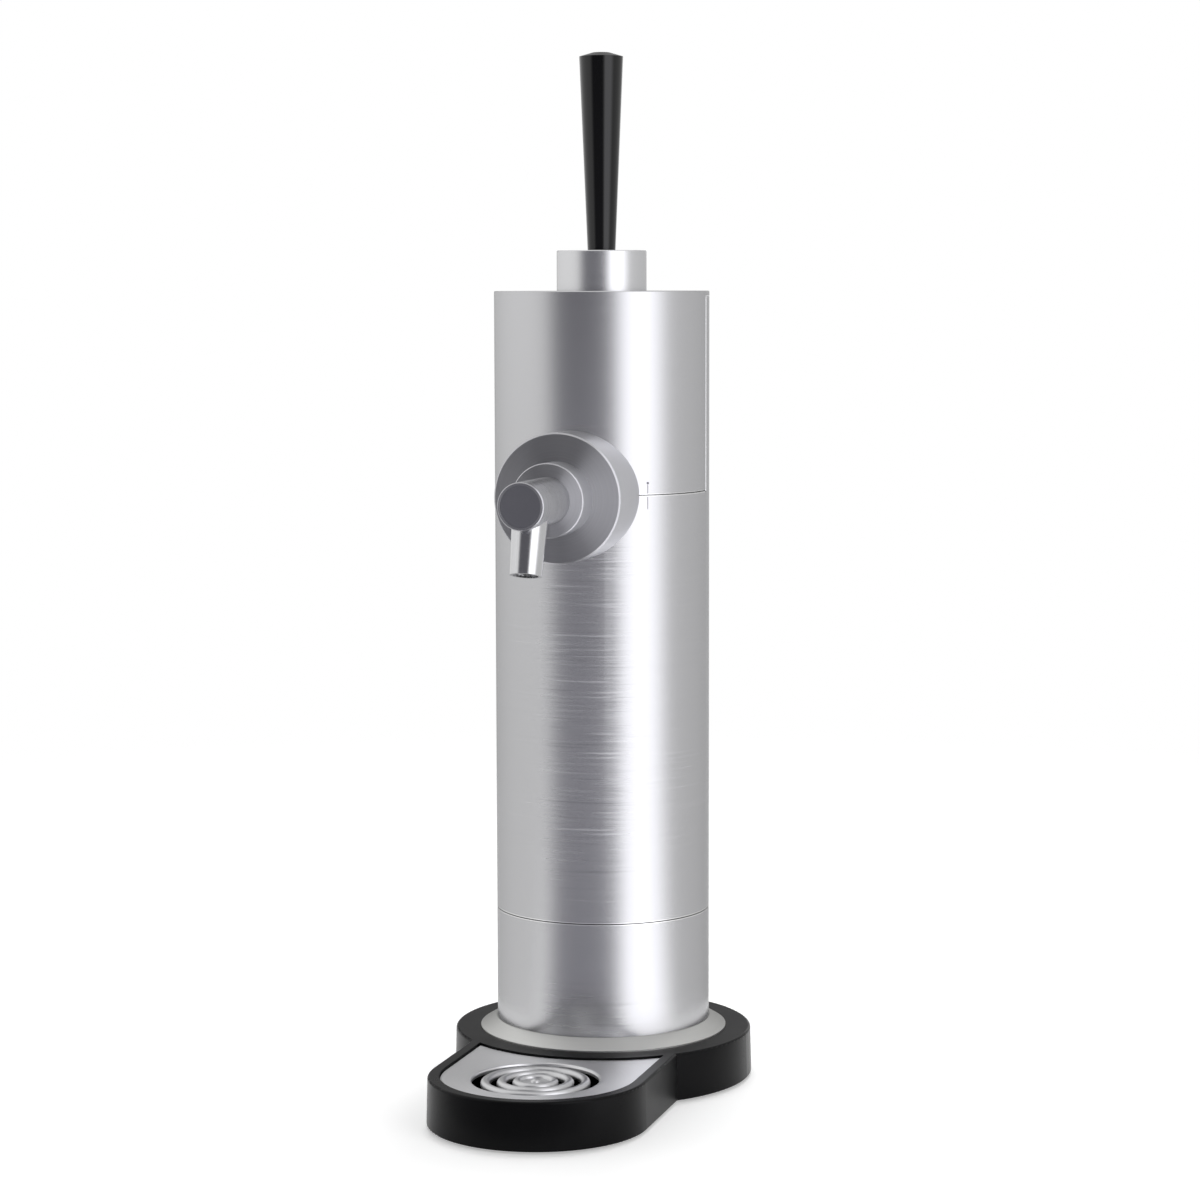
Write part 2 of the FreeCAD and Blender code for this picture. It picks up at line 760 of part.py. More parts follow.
def make_base_housing():
    disc = revolved([
        (0, base_underside),
        (d.base_radius, base_underside),
        (d.base_radius - d.base_draft, d.base_top),
        (0, d.base_top),
    ])
    lobe = drafted_lobe(d.lobe_half_width, d.lobe_centre, base_underside, d.base_top, d.base_draft)
    for block in (disc, lobe):
        round_edges(block, d.base_top, d.base_top_round)
        round_edges(block, base_underside, d.base_foot_round)
    outside = fuse(disc, lobe)
    inset = d.base_wall + d.base_draft
    shell = cut(
        outside,
        base_pad(inset, base_underside - d.through, roof_underside),
        base_pad(d.cover_lip, base_underside - d.through, cover_top),
    )
    tray_frame = tray_pad(-d.tray_frame_wall, tray_ledge_top - d.tray_ledge_height, roof_underside)
    bosses = bored(d.boss_radius, roof_underside - cover_top, cover_top, cover_screw_places)
    solid = fuse(shell, tray_frame, *bosses)
    bay_hole = bay_outer + d.slip
    holes = [
        tray_pad(0, tray_ledge_top, d.base_top + d.through),
        tray_pad(d.tray_ledge, cover_top, tray_ledge_top + d.through),
        box_across(bay_hole, -bay_hole, bay_hole, roof_underside - d.through, d.base_top + d.through),
    ]
    thread = d.screw_radius + d.thread_fit
    holes += drill(d.screw_radius + d.slip, roof_underside, d.base_top, tower_screw_places)
    holes += bored(thread, bay_screw_length, roof_underside - d.bay_flange_thickness, bay_screw_places)
    holes += bored(thread, cover_screw_length + d.slip, cover_screw_seat, cover_screw_places)
    return cut(solid, *holes)


cover_screw_length = roof_underside - cover_top - d.screw_head_height
bay_screw_length = d.bay_flange_thickness + d.base_roof - 2 * d.slip
cover_screw_seat = base_underside + d.screw_head_height + d.slip


def make_base_cover():
    plate = base_pad(d.cover_lip + d.slip, base_underside, cover_top)
    door = d.door_half_width + d.body_gap
    holes = [box_across(door, -door, door, base_underside - d.through, cover_top + d.through)]
    holes += drill(d.screw_radius + d.slip, base_underside, cover_top, cover_screw_places)
    holes += bored(d.screw_head_radius + d.slip, cover_screw_seat, 0, cover_screw_places)
    holes += bored(d.foot_radius + d.thread_fit, d.foot_height + d.foot_recess, 0, foot_places)
    return cut(plate, *holes)


def make_feet():
    return group(bored(d.foot_radius, d.foot_height + d.foot_recess, 0, foot_places))


def make_base_ring():
    rim = d.tower_radius + d.ring_rim
    bowl = d.tower_radius + d.thread_fit
    ring = revolved([
        (ring_bore, d.base_top),
        (ring_foot_radius, d.base_top),
        (ring_foot_radius, d.base_top + d.ring_lip),
        (rim, ring_top),
        (bowl, ring_top),
        (bowl, ring_seat),
        (ring_bore, ring_seat),
    ])
    return cut(ring, *drill(d.screw_radius + d.slip, d.base_top, ring_seat, tower_screw_places))


def make_tower_foot():
    top = ring_seat + d.tower_foot_height
    ring = tube(sleeve_fit, tower_foot_bore, ring_seat, top)
    depth = roof_underside + tower_screw_length - ring_seat + d.slip
    return cut(ring, *bored(d.screw_radius + d.thread_fit, depth, ring_seat, tower_screw_places))


def make_base_screws():
    """Screws up into the tower foot, into the roof through the battery case, and through the cover."""
    case_seat = roof_underside - d.bay_flange_thickness
    screws = [screw(tower_screw_length, x, y, roof_underside) for x, y in tower_screw_places]
    screws += [screw(bay_screw_length, x, y, case_seat) for x, y in bay_screw_places]
    screws += [screw(cover_screw_length, x, y, cover_screw_seat) for x, y in cover_screw_places]
    return group(screws)


# Drip tray


pan_outer = d.tray_ledge + d.tray_side_gap
pan_floor_level = cover_top + d.pan_floor_gap
slots_centre = d.lobe_centre + d.slots_forward
slots_radius = d.outer_bar_radius + d.bar_half_width + d.slot_width


def make_drip_pan():
    rim = tray_pad(d.tray_side_gap, tray_ledge_top, pan_top)
    walls = tray_pad(pan_outer, pan_floor_level, tray_ledge_top + d.through / 2)
    basin = tray_pad(pan_outer + d.pan_wall, pan_floor_level + d.pan_wall, pan_top + d.through)
    return cut(fuse(rim, walls), basin)


def slot_ring(radius, half_width):
    """Round rod bent to a ring, level with the plate's face."""
    return torus(radius, half_width, 0, -slots_centre, plate_top - half_width)


def make_drip_plate():
    bars_bottom = plate_top - d.bar_height
    edge_inset = d.plate_side_gap + d.plate_edge
    lower = tray_pad(d.plate_side_gap, pan_top, plate_top - d.plate_edge)
    upper = tray_pad(edge_inset, plate_top - d.plate_edge, plate_top)
    field = revolved([
        (0, pan_top - d.through),
        (slots_radius, pan_top - d.through),
        (slots_radius, plate_top - d.slot_edge),
        (slots_radius + d.slot_edge / 3, plate_top - d.slot_edge / 3),
        (slots_radius + d.slot_edge, plate_top),
        (slots_radius + d.slot_edge, plate_top + d.through),
        (0, plate_top + d.through),
    ])
    place(field, 0, -slots_centre, 0)
    sheet_metal = cut(fuse(lower, upper), field)
    bars = [
        slot_ring(d.outer_bar_radius, d.bar_half_width),
        slot_ring(d.inner_bar_radius, d.bar_half_width),
        slot_ring(d.boss_bar_radius, d.boss_bar_half_width),
    ]
    spine = box_across(
        d.spine_width / 2,
        -slots_centre - slots_radius - d.through,
        -slots_centre + slots_radius + d.through,
        bars_bottom,
        plate_top - d.spine_drop,
    )
    dish_height = d.bar_height - d.boss_dish
    dish = cylinder(d.boss_bar_radius, dish_height, 0, -slots_centre, bars_bottom)
    nub = sphere(d.nub_radius, 0, -slots_centre, plate_top - d.nub_radius)
    trim = 2 * d.bar_half_width
    below = cylinder(slots_radius, trim, 0, -slots_centre, bars_bottom - trim)
    return cut(fuse(sheet_metal, *bars, spine, dish, nub), below)


# Tower


def make_lower_sleeve():
    top = d.lower_seam_height - d.lower_seam_gap / 2
    return tube(d.tower_radius, sleeve_bore, ring_seat, top)


def tap_seam_bevel():
    """Ring with a pointed edge that bevels both sides of the seam at the tap's height."""
    reach = seam_bevel_depth + d.through
    return revolved([
        (d.tower_radius - seam_bevel_depth, d.tap_height),
        (d.tower_radius + d.through, d.tap_height - reach),
        (d.tower_radius + d.through, d.tap_height + reach),
    ])


def side_seam_bevels():
    """Square posts set on edge in the two upright seams."""
    posts = []
    for x in both_sides(d.tower_radius):
        post = doc.addObject("Part::Prism", "bevel")
        post.Polygon = 4
        bind(post, Circumradius=seam_bevel_depth, Height=cap_underside - d.tap_height + d.through)
        place(post, x, 0, d.tap_height)
        posts.append(post)
    return posts


def make_tower_sleeve():
    wall = tube(d.tower_radius, sleeve_bore, d.lower_seam_height + d.lower_seam_gap / 2, rear_top)
    reach = d.tower_radius + d.through
    front = box_across(reach, -reach, half_side_gap, tower_split, rear_top + d.through)
    nut_way = cylinder(d.nut_circumradius + d.nut_notch_gap, reach, 0, 0, d.tap_height, "front")
    leaf_way = box_across(
        d.hinge_middle_half + 2 * d.hinge_gap,
        sleeve_bore - d.through * 4,
        reach,
        hinge_z - d.hinge_gap,
        rear_top + d.through,
    )
    front_rim = box_across(reach, -reach, 0, d.lower_seam_height, cap_underside)
    bevel = common(tap_seam_bevel(), front_rim)
    return cut(wall, front, nut_way, leaf_way, bevel, *side_seam_bevels())


def make_deck():
    skirt_bottom = deck_underside - d.deck_skirt_below
    skirt_top = d.lower_seam_height + d.deck_skirt_above
    skirt = tube(sleeve_fit, sleeve_fit - d.deck_skirt_wall, skirt_bottom, skirt_top)
    plate = cylinder(sleeve_fit, d.deck_thickness, 0, 0, deck_underside)
    return cut(fuse(skirt, plate), *drill(d.lead_radius + d.slip, deck_underside, deck_top, lead_places))


def make_can_well():
    flange_top = well_top
    flange_edge = sleeve_bore - d.well_flange_gap
    floor_edge = sleeve_fit - d.deck_skirt_wall - d.slip
    floor_top = deck_top + d.well_floor
    cup = revolved([
        (0, deck_top),
        (floor_edge, deck_top),
        (floor_edge, floor_top),
        (well_outer, floor_top),
        (well_outer, flange_top - d.well_flange),
        (flange_edge, flange_top - d.well_flange),
        (flange_edge, flange_top),
        (well_radius, flange_top),
        (well_radius, floor_top),
        (0, floor_top),
    ])
    return cut(cup, *drill(d.lead_radius + d.slip, deck_top, flange_top, lead_places))


def make_can_pad():
    return cylinder(well_radius - d.body_gap, d.pad_thickness, 0, 0, deck_top + d.well_floor)


# Battery bay


bay_bottom = cover_top + d.bay_clearance
cell_offset = d.cell_spacing / 2
cells_up = [(-1 * cell_offset, -1 * cell_offset), (1 * cell_offset, 1 * cell_offset)]
cells_down = [(-1 * cell_offset, 1 * cell_offset), (1 * cell_offset, -1 * cell_offset)]


def make_battery_case():
    outside = box_across(bay_outer, -bay_outer, bay_outer, bay_bottom, deck_underside)
    flange_edge = bay_outer + d.bay_flange
    flange_low = roof_underside - d.bay_flange_thickness
    flange = box_across(flange_edge, -flange_edge, flange_edge, flange_low, roof_underside)
    inside = d.bay_width / 2
    room = box_across(inside, -inside, inside, bay_bottom - d.through, bay_ceiling)
    holes = drill(d.screw_radius + d.slip, flange_low, roof_underside, bay_screw_places)
    return cut(fuse(outside, flange), room, *holes)


def make_cell(x, y, upright):
    """One AA cell, with its nub up or down."""
    foot = door_contact + (d.cell_spring_length if upright else d.cell_nub)
    can = cylinder(d.cell_radius, d.cell_length, x, y, foot)
    nub_level = foot + d.cell_length if upright else foot - d.cell_nub
    return fuse(can, cylinder(d.cell_nub_radius, d.cell_nub, x, y, nub_level))


def make_batteries():
    cells = [make_cell(x, y, True) for x, y in cells_up]
    cells += [make_cell(x, y, False) for x, y in cells_down]
    return group(cells)


def make_contact_plates(bottom):
    """Two sheets, each linking a pair of neighbouring cells."""
    sheets = []
    for x in both_sides(cell_offset):
        sheets.append(box(
            x - d.contact_radius,
            x + d.contact_radius,
            -cell_offset - d.contact_radius,
            cell_offset + d.contact_radius,
            bottom,
            bottom + d.contact_sheet,
        ))
    return sheets


def coil_path(radius, pitch, turns):
    """Helix about local Z that starts on the X axis."""
    return Part.Wire(Part.makeLongHelix(pitch, pitch * turns, radius).Edges)


def make_cell_spring(x, y, low):
    """Contact spring of round wire, from the sheet to the cell's flat end."""
    wire = d.spring_wire.value / 2
    free = d.cell_spring_length.value - 2 * wire
    pitch = free / d.cell_spring_turns.value
    path = coil_path(d.cell_spring_radius.value, pitch, d.cell_spring_turns.value)
    path.translate(at(x, y, low) + Vector(0, 0, wire))
    print("cell spring: least gap between turns", round(pitch - 2 * wire, 3))
    return swept(path, wire)


def make_top_contacts():
    springs = [make_cell_spring(x, y, top_contact - d.cell_spring_length) for x, y in cells_down]
    return group(make_contact_plates(top_contact) + springs)


def make_battery_door():
    half = d.door_half_width
    panel = box_across(half, -half, half, base_underside, base_underside + d.door_thickness)
    plug_half = d.bay_width / 2 - d.door_plug_gap
    plug = box_across(plug_half, -plug_half, plug_half, base_underside, door_contact - d.contact_sheet)
    return fuse(panel, plug)


def make_door_contacts():
    springs = [make_cell_spring(x, y, door_contact) for x, y in cells_up]
    return group(make_contact_plates(door_contact - d.contact_sheet) + springs)


# Head


flange_cut_radius = d.tower_radius + d.body_gap


def make_front_shell():
    wall = tube(d.tower_radius, sleeve_bore, head_split, cap_underside)
    reach = d.tower_radius + d.through
    rear = box_across(reach, -half_side_gap, reach, head_split - d.through, cap_underside + d.through)
    shank_hole = cylinder(d.shank_radius + d.slip, reach, 0, 0, d.tap_height, "front")
    return cut(wall, rear, shank_hole, tap_seam_bevel(), *side_seam_bevels())


post_places = corners(post_offset, post_offset)
pivot_screw_places = [(0, y) for y in both_sides(d.pivot_base_radius - d.pivot_screw_inset)]
collar_screw_places = [(x, 0) for x in both_sides(d.collar_radius - d.collar_screw_inset)]
hinge_screw_y = sleeve_bore - d.hinge_leaf_reach / 2
hinge_screw_places = [(x, hinge_screw_y) for x in both_sides(d.hinge_middle_half / 2)]
small_screw_length = d.cap_thickness + d.collar_base - 2 * d.slip


def make_top_cap():
    disc = revolved([
        (d.stem_hole, cap_underside),
        (d.tower_radius, cap_underside),
        (d.tower_radius, cap_top_height - d.cap_edge),
        (d.tower_radius - d.cap_edge, cap_top_height),
        (d.stem_hole, cap_top_height),
    ])
    skirt_low = cap_underside - d.cap_skirt_height
    skirt = tube(sleeve_fit, sleeve_fit - d.cap_skirt_wall, skirt_low, cap_underside)
    reach = d.tower_radius + d.through
    skirt = cut(skirt, box_across(reach, -d.through, reach, skirt_low - d.through, cap_underside + d.through))
    posts = bored(d.post_radius, cap_underside - upper_plate_top, upper_plate_top, post_places)
    thread = d.screw_radius + d.thread_fit
    small_thread = d.small_screw_radius + d.thread_fit
    through_places = collar_screw_places + pivot_screw_places
    holes = bored(thread, chassis_screw_bite + d.slip, upper_plate_top, post_places)
    holes += drill(d.small_screw_radius + d.slip, cap_underside, cap_top_height, through_places)
    holes += bored(small_thread, hinge_screw_bite + d.slip, cap_underside, hinge_screw_places)
    return cut(fuse(disc, skirt, *posts), *holes)


chassis_screw_bite = d.post_radius * 3
hinge_screw_bite = d.cap_thickness * Size("0.7", 0.7)


def make_collar():
    inner = d.collar_radius - d.collar_wall
    mouth = d.handle_foot_radius + d.collar_mouth_gap
    top = collar_top
    base_top = cap_top_height + d.collar_base
    ledge = d.pivot_base_radius + d.slip
    ring = revolved([
        (ledge, cap_top_height),
        (d.collar_radius, cap_top_height),
        (d.collar_radius, top - d.collar_edge),
        (d.collar_radius - d.collar_edge, top),
        (mouth, top),
        (mouth, top - d.collar_wall),
        (inner, top - d.collar_wall),
        (inner, base_top),
        (ledge, base_top),
    ])
    thread = d.small_screw_radius + d.thread_fit
    return cut(ring, *bored(thread, small_screw_length, cap_underside, collar_screw_places))


def make_cap_screws():
    """Small screws up into the collar, into the pivot bracket, and through the hinge leaf into the cap."""
    leaf_seat = cap_underside - d.hinge_leaf_thickness
    leaf_length = d.hinge_leaf_thickness + hinge_screw_bite
    screws = [
        screw(small_screw_length, x, y, cap_underside, small=True)
        for x, y in collar_screw_places + pivot_screw_places
    ]
    screws += [screw(leaf_length, x, y, leaf_seat, small=True) for x, y in hinge_screw_places]
    return group(screws)


def make_tap_flange():
    face = flange_face
    bore = d.shank_radius + d.slip
    rim = d.flange_radius
    root = chord(flange_cut_radius, rim) - d.through
    cup = revolved([
        (bore, face),
        (rim - d.flange_edge, face),
        (rim, face - d.flange_edge),
        (rim, root),
        (rim - d.flange_wall, root),
        (rim - d.flange_wall, face - d.flange_wall),
        (d.flange_boss_radius, face - d.flange_wall),
        (d.flange_boss_radius, root),
        (bore, root),
    ])
    place(cup, 0, 0, d.tap_height, "front")
    tower = cylinder(flange_cut_radius, 4 * rim, 0, 0, d.tap_height - 2 * rim)
    return cut(cup, tower)


def make_tap_hub():
    bore = d.shank_radius + d.slip
    hub = revolved([
        (bore, flange_face),
        (d.hub_radius, flange_face),
        (d.hub_radius, hub_face - d.nozzle_edge),
        (d.hub_radius - d.nozzle_edge, hub_face),
        (bore, hub_face),
    ])
    place(hub, 0, 0, d.tap_height, "front")
    return hub


def spout_frame():
    """Place and turn of the spout: its local Z runs from the mouth up into the nozzle."""
    turn = FreeCAD.Rotation(Vector(1, 0, 0), -SIZES["spout_lean"])
    return FreeCAD.Placement(at(0, d.spout_mouth_back - nozzle_face, d.tap_height - d.spout_mouth_drop), turn)


def along_spout(piece):
    """Lean an upright piece over onto the spout's axis."""
    piece.Placement = spout_frame()
    return piece


def make_nozzle_body():
    spigot = hub_face + d.shank_spigot_length
    cup_floor = nozzle_face - d.insert_thickness - d.foam_disc_thickness - d.body_gap - d.slip
    body = revolved([
        (d.shank_spigot_radius + d.thread_fit, hub_face),
        (d.nozzle_radius, hub_face),
        (d.nozzle_radius, nozzle_face - d.nozzle_edge),
        (d.nozzle_radius - d.nozzle_edge, nozzle_face),
        (nozzle_cup_radius + d.thread_fit, nozzle_face),
        (nozzle_cup_radius + d.thread_fit, cup_floor),
        (d.nozzle_bore, cup_floor),
        (d.nozzle_bore, spigot),
        (d.shank_spigot_radius + d.thread_fit, spigot),
    ])
    place(body, 0, 0, d.tap_height, "front")
    socket = along_spout(free_cylinder(d.spout_top_radius + d.thread_fit, d.spout_length + d.slip))
    return cut(body, socket)


def free_cylinder(radius, length):
    """Cylinder whose place is set afterwards, not by the sheet."""
    piece = doc.addObject("Part::Cylinder", "round")
    bind(piece, Radius=radius, Height=length)
    return piece


def make_nozzle_insert():
    back = nozzle_face - d.slip - d.insert_thickness
    return cylinder(nozzle_cup_radius, d.insert_thickness, 0, -back, d.tap_height, "front")


def make_foam_disc():
    back = nozzle_face - d.slip - d.insert_thickness - d.foam_disc_thickness
    return cylinder(nozzle_cup_radius, d.foam_disc_thickness, 0, -back, d.tap_height, "front")


def make_tap_shank():
    spigot = hub_face + d.shank_spigot_length
    shank = revolved([
        (d.nozzle_bore, shank_end),
        (d.shank_radius, shank_end),
        (d.shank_radius, hub_face),
        (d.shank_spigot_radius, hub_face),
        (d.shank_spigot_radius, spigot),
        (d.nozzle_bore, spigot),
    ])
    place(shank, 0, 0, d.tap_height, "front")
    return shank


def make_shank_nut():
    nut = doc.addObject("Part::Prism", "hexagon")
    nut.Polygon = 6
    bind(nut, Circumradius=d.nut_circumradius, Height=d.nut_thickness)
    place(nut, 0, -shank_end, d.tap_height, "front")
    length = d.nut_thickness + 2 * d.through
    hole = cylinder(d.shank_radius + d.thread_fit, length, 0, d.through - shank_end, d.tap_height, "front")
    return cut(nut, hole)


elbow_y = -shank_end + d.elbow_reach / 2


def make_outlet_elbow():
    """Closed elbow on the back of the shank, with a barb that points up."""
    end = -shank_end
    block = cylinder(d.elbow_radius, d.elbow_reach, 0, end, d.tap_height, "back")
    barb = cylinder(d.barb_radius, d.elbow_rise, 0, elbow_y, d.tap_height)
    bore = cylinder(d.barb_radius / 2, d.elbow_rise + d.through, 0, elbow_y, d.tap_height)
    entry_length = d.elbow_reach / 2 + d.through
    entry = cylinder(d.barb_radius / 2, entry_length, 0, end - d.through, d.tap_height, "back")
    return cut(fuse(block, barb), bore, entry)


def make_spout():
    outside = doc.addObject("Part::Cone", "taper")
    bind(outside, Radius1=d.spout_mouth_radius, Radius2=d.spout_top_radius, Height=d.spout_length)
    bore = cylinder(d.spout_bore, d.spout_length + 2 * d.through, 0, 0, -d.through)
    nozzle = cylinder(d.nozzle_bore, nozzle_face, 0, 0, d.tap_height, "front")
    return cut(along_spout(cut(outside, bore)), nozzle)


def make_spout_liner():
    outer = d.spout_bore - d.thread_fit
    wall = tube(outer, d.liner_bore, d.liner_recess, d.spout_length - d.spout_bore)
    nozzle = cylinder(d.nozzle_bore + d.thread_fit, nozzle_face, 0, 0, d.tap_height, "front")
    return cut(along_spout(wall), nozzle)


def make_head_chassis():
    disc = cylinder(chassis_radius, d.chassis_thickness, 0, 0, chassis_level)
    low = chassis_level - d.through
    high = chassis_top + d.through
    reach = chassis_radius + d.through
    pin_bore = d.contact_pin_radius + d.thread_fit
    notch = d.nut_circumradius + d.body_gap
    holes = [box_across(notch, -reach, elbow_y + d.hose_radius + d.body_gap, low, high)]
    holes += drill(d.screw_radius + d.slip, chassis_level, chassis_top, post_places)
    holes += drill(pin_bore, chassis_level, chassis_top, lead_places)
    holes += drill(d.riser_radius + d.thread_fit, chassis_level, chassis_top, [(0, 0)])
    return cut(disc, *holes)


def make_spacers():
    return group([
        tube(d.post_radius, d.screw_radius + d.slip, chassis_top, upper_plate_level, x, y)
        for x, y in post_places
    ])


def make_upper_plate():
    disc = cylinder(upper_plate_radius, d.upper_plate_thickness, 0, 0, upper_plate_level)
    holes = drill(d.screw_radius + d.slip, upper_plate_level, upper_plate_top, post_places)
    holes += drill(d.motor_radius + d.body_gap, upper_plate_level, upper_plate_top, [(pump_x, 0)])
    return cut(disc, *holes)


def make_chassis_screws():
    length = upper_plate_top - chassis_level + chassis_screw_bite
    return group([screw(length, x, y, chassis_level) for x, y in post_places])


def make_can_seal():
    outer = well_radius - d.seal_inset
    return tube(outer, outer - d.seal_width, chassis_level - d.seal_height, chassis_level)


def make_riser():
    bottom = can_top - d.riser_dip
    pipe = tube(d.riser_radius, d.riser_bore, bottom, chassis_top)
    barb = tube(d.barb_radius, d.riser_bore, chassis_top, chassis_top + d.riser_barb)
    return fuse(pipe, barb)


def make_pump_head():
    low = chassis_top
    housing = cylinder(d.pump_radius, d.pump_height, pump_x, 0, low)
    inlet_z = low + d.inlet_rise
    outlet_z = low + d.outlet_rise
    inlet = cylinder(
        d.barb_radius, d.pump_radius + d.barb_length, pump_x, 0, inlet_z, "left")
    outlet_start = -chord(d.pump_radius, pump_x - outlet_x) + d.through
    outlet = cylinder(d.barb_radius, d.barb_length + d.through, outlet_x, outlet_start, outlet_z, "front")
    return fuse(housing, inlet, outlet)


def make_pump_motor():
    low = chassis_top + d.pump_height
    can = cylinder(d.motor_radius, d.motor_length, pump_x, 0, low)
    terminals = [
        box(pump_x - d.through, pump_x + d.through, y, y + d.through / 2, low + d.motor_length,
            low + d.motor_length + d.through * 3)
        for y in both_sides(d.motor_radius / 2)
    ]
    return fuse(can, *terminals)


def make_pump_clamp():
    low = chassis_top + d.pump_height - d.clamp_drop - d.clamp_height
    outer = d.pump_radius + d.clamp_wall
    band = cylinder(outer, d.clamp_height, pump_x, 0, low)
    foot = box(
        pump_x - d.clamp_height,
        pump_x + d.clamp_height,
        d.pump_radius - d.through,
        outer,
        chassis_top,
        low + d.clamp_height,
    )
    hole = drill(d.pump_radius + d.thread_fit, chassis_top, low + d.clamp_height, [(pump_x, 0)])
    return cut(fuse(band, foot), *hole)


def hose(route):
    return swept(bent_path(route, d.hose_bend.value), d.hose_radius.value, d.hose_bore.value)


def make_inlet_hose():
    height = chassis_top + d.inlet_rise
    start = pump_x - d.pump_radius
    route = [
        at(0, 0, chassis_top + d.slip),
        at(0, 0, height),
        at(start - d.slip, 0, height),
    ]
    return hose(route)


def make_outlet_hose():
    height = chassis_top + d.outlet_rise
    clear = chord(d.pump_radius, pump_x - outlet_x - d.hose_radius) + d.slip
    route = [
        at(outlet_x, -clear, height),
        at(outlet_x, elbow_y, height),
        at(0, elbow_y, height),
        at(0, elbow_y, d.tap_height + d.elbow_radius + d.slip),
    ]
    return hose(route)


board_face = -d.board_x - d.board_thickness


def make_control_board():
    """Board on edge, with a capacitor, a relay, a driver chip and a plug."""
    board = box(
        board_face,
        -d.board_x,
        -d.board_half_width,
        d.board_half_width,
        chassis_top,
        chassis_top + d.board_height,
    )
    middle = chassis_top + d.board_height / 2
    step = d.board_half_width / 2
    deep = d.board_thickness * 3
    capacitor = cylinder(d.board_thickness * 2, deep * 2, board_face, -step, middle, "left")
    relay = box(board_face - deep, board_face, step, step + deep, middle, middle + deep * 2)
    chip = box(board_face - d.board_thickness, board_face, -deep / 2, deep / 2, middle - deep, middle)
    plug = box(board_face - deep, board_face, step - deep / 2, step + deep, middle - deep * 2, middle - deep)
    return group([board, capacitor, relay, chip, plug])


# Handle and switch


ear_outside = d.pivot_ear_inside + d.pivot_ear_wall
bracket_top = cap_top_height + d.pivot_base_thickness
ear_top = pivot_height + d.pivot_ear_rise


def make_pivot_bracket():
    base = cylinder(d.pivot_base_radius, bracket_top - cap_top_height, 0, 0, cap_top_height)
    half = d.pivot_ear_width / 2
    ears = [
        box(d.pivot_ear_inside, ear_outside, -half, half, cap_top_height, ear_top),
        box(-ear_outside, -d.pivot_ear_inside, -half, half, cap_top_height, ear_top),
    ]
    start = -ear_outside - d.through
    pin_bore = d.pivot_pin_radius + d.pin_fit
    pin_hole = cylinder(pin_bore, -2 * start, start, 0, pivot_height, "right")
    holes = drill(d.stem_hole, cap_top_height, bracket_top, [(0, 0)])
    thread = d.small_screw_radius + d.thread_fit
    holes += bored(thread, small_screw_length, cap_underside, pivot_screw_places)
    return cut(fuse(base, *ears), pin_hole, *holes)


def make_pivot_pin():
    return cylinder(d.pivot_pin_radius, 2 * ear_outside, -ear_outside, 0, pivot_height, "right")


def make_handle():
    tail = collar_top - d.handle_tail
    slope = (d.handle_rim_radius - d.handle_foot_radius) / (handle_rim_height - collar_top)
    tail_radius = d.handle_foot_radius - slope * d.handle_tail
    stud_top = tail + d.stem_stud_length + d.slip
    return revolved([
        (d.stem_stud_radius + d.thread_fit, tail),
        (tail_radius, tail),
        (d.handle_rim_radius, handle_rim_height),
        (d.handle_crown_radius, handle_top),
        (0, handle_top),
        (0, stud_top),
        (d.stem_stud_radius + d.thread_fit, stud_top),
    ])


def make_handle_stem():
    barrel = cylinder(d.stem_hub_radius, 2 * d.stem_hub_half, -d.stem_hub_half, 0, pivot_height, "right")
    neck = cylinder(d.stem_neck_radius, 2 * d.stem_neck_end, -d.stem_neck_end, 0, pivot_height, "right")
    tail = collar_top - d.handle_tail
    stud = cylinder(d.stem_stud_radius, tail + d.stem_stud_length - pivot_height, 0, 0, pivot_height)
    rod = cylinder(d.stem_rod_radius, d.stem_arm, 0, 0, pivot_height - d.stem_arm)
    ball = sphere(d.stem_ball_radius, 0, 0, pivot_height - d.stem_arm)
    length = 2 * d.stem_neck_end + 2 * d.through
    start = -d.stem_neck_end - d.through
    pin_hole = cylinder(d.pivot_pin_radius + d.pin_fit, length, start, 0, pivot_height, "right")
    return cut(fuse(barrel, neck, stud, rod, ball), pin_hole)


def make_centring_spring():
    """Torsion spring round the stem's neck, with one leg down to the bracket and one up."""
    radius = d.centring_coil_radius.value
    pitch = d.centring_coil_pitch.value
    turns = d.centring_coil_turns.value
    wire = d.spring_wire.value / 2
    coil_edges = coil_path(radius, pitch, turns).Edges
    first, last = coil_edges[0], coil_edges[-1]
    start = first.valueAt(first.FirstParameter)
    end = last.valueAt(last.LastParameter)
    leg_in = first.tangentAt(first.FirstParameter) * -d.centring_leg.value
    leg_out = last.tangentAt(last.LastParameter) * d.centring_leg.value
    path = Part.Wire(
        [Part.LineSegment(start + leg_in, start).toShape()] + coil_edges
        + [Part.LineSegment(end, end + leg_out).toShape()]
    )
    path.rotate(Vector(0, 0, 0), Vector(0, 1, 0), 90)
    path.translate(at(d.stem_hub_half + d.spring_wire / 2 + d.slip, 0, pivot_height))
    print("centring spring: least gap between turns", round(pitch - 2 * wire, 3))
    return swept(path, wire)


slider_base = pivot_height - d.stem_arm - d.stem_ball_radius - d.body_gap - d.slider_floor
switch_top = slider_base - d.slider_gap
slot_half = d.stem_ball_radius + d.slider_slot_gap


def make_switch_body():
    case = box_across(d.switch_half_x, -d.switch_half_y, d.switch_half_y, upper_plate_top, switch_top)
    rail_top = slider_base + d.slider_floor
    inside = d.slider_half_x + d.slider_gap
    rail_low = switch_top - d.through
    half_y = d.switch_half_y
    rails = [
        box(low, low + d.switch_rail, -half_y, half_y, rail_low, rail_top)
        for low in (inside, -inside - d.switch_rail)
    ]
    return fuse(case, *rails)


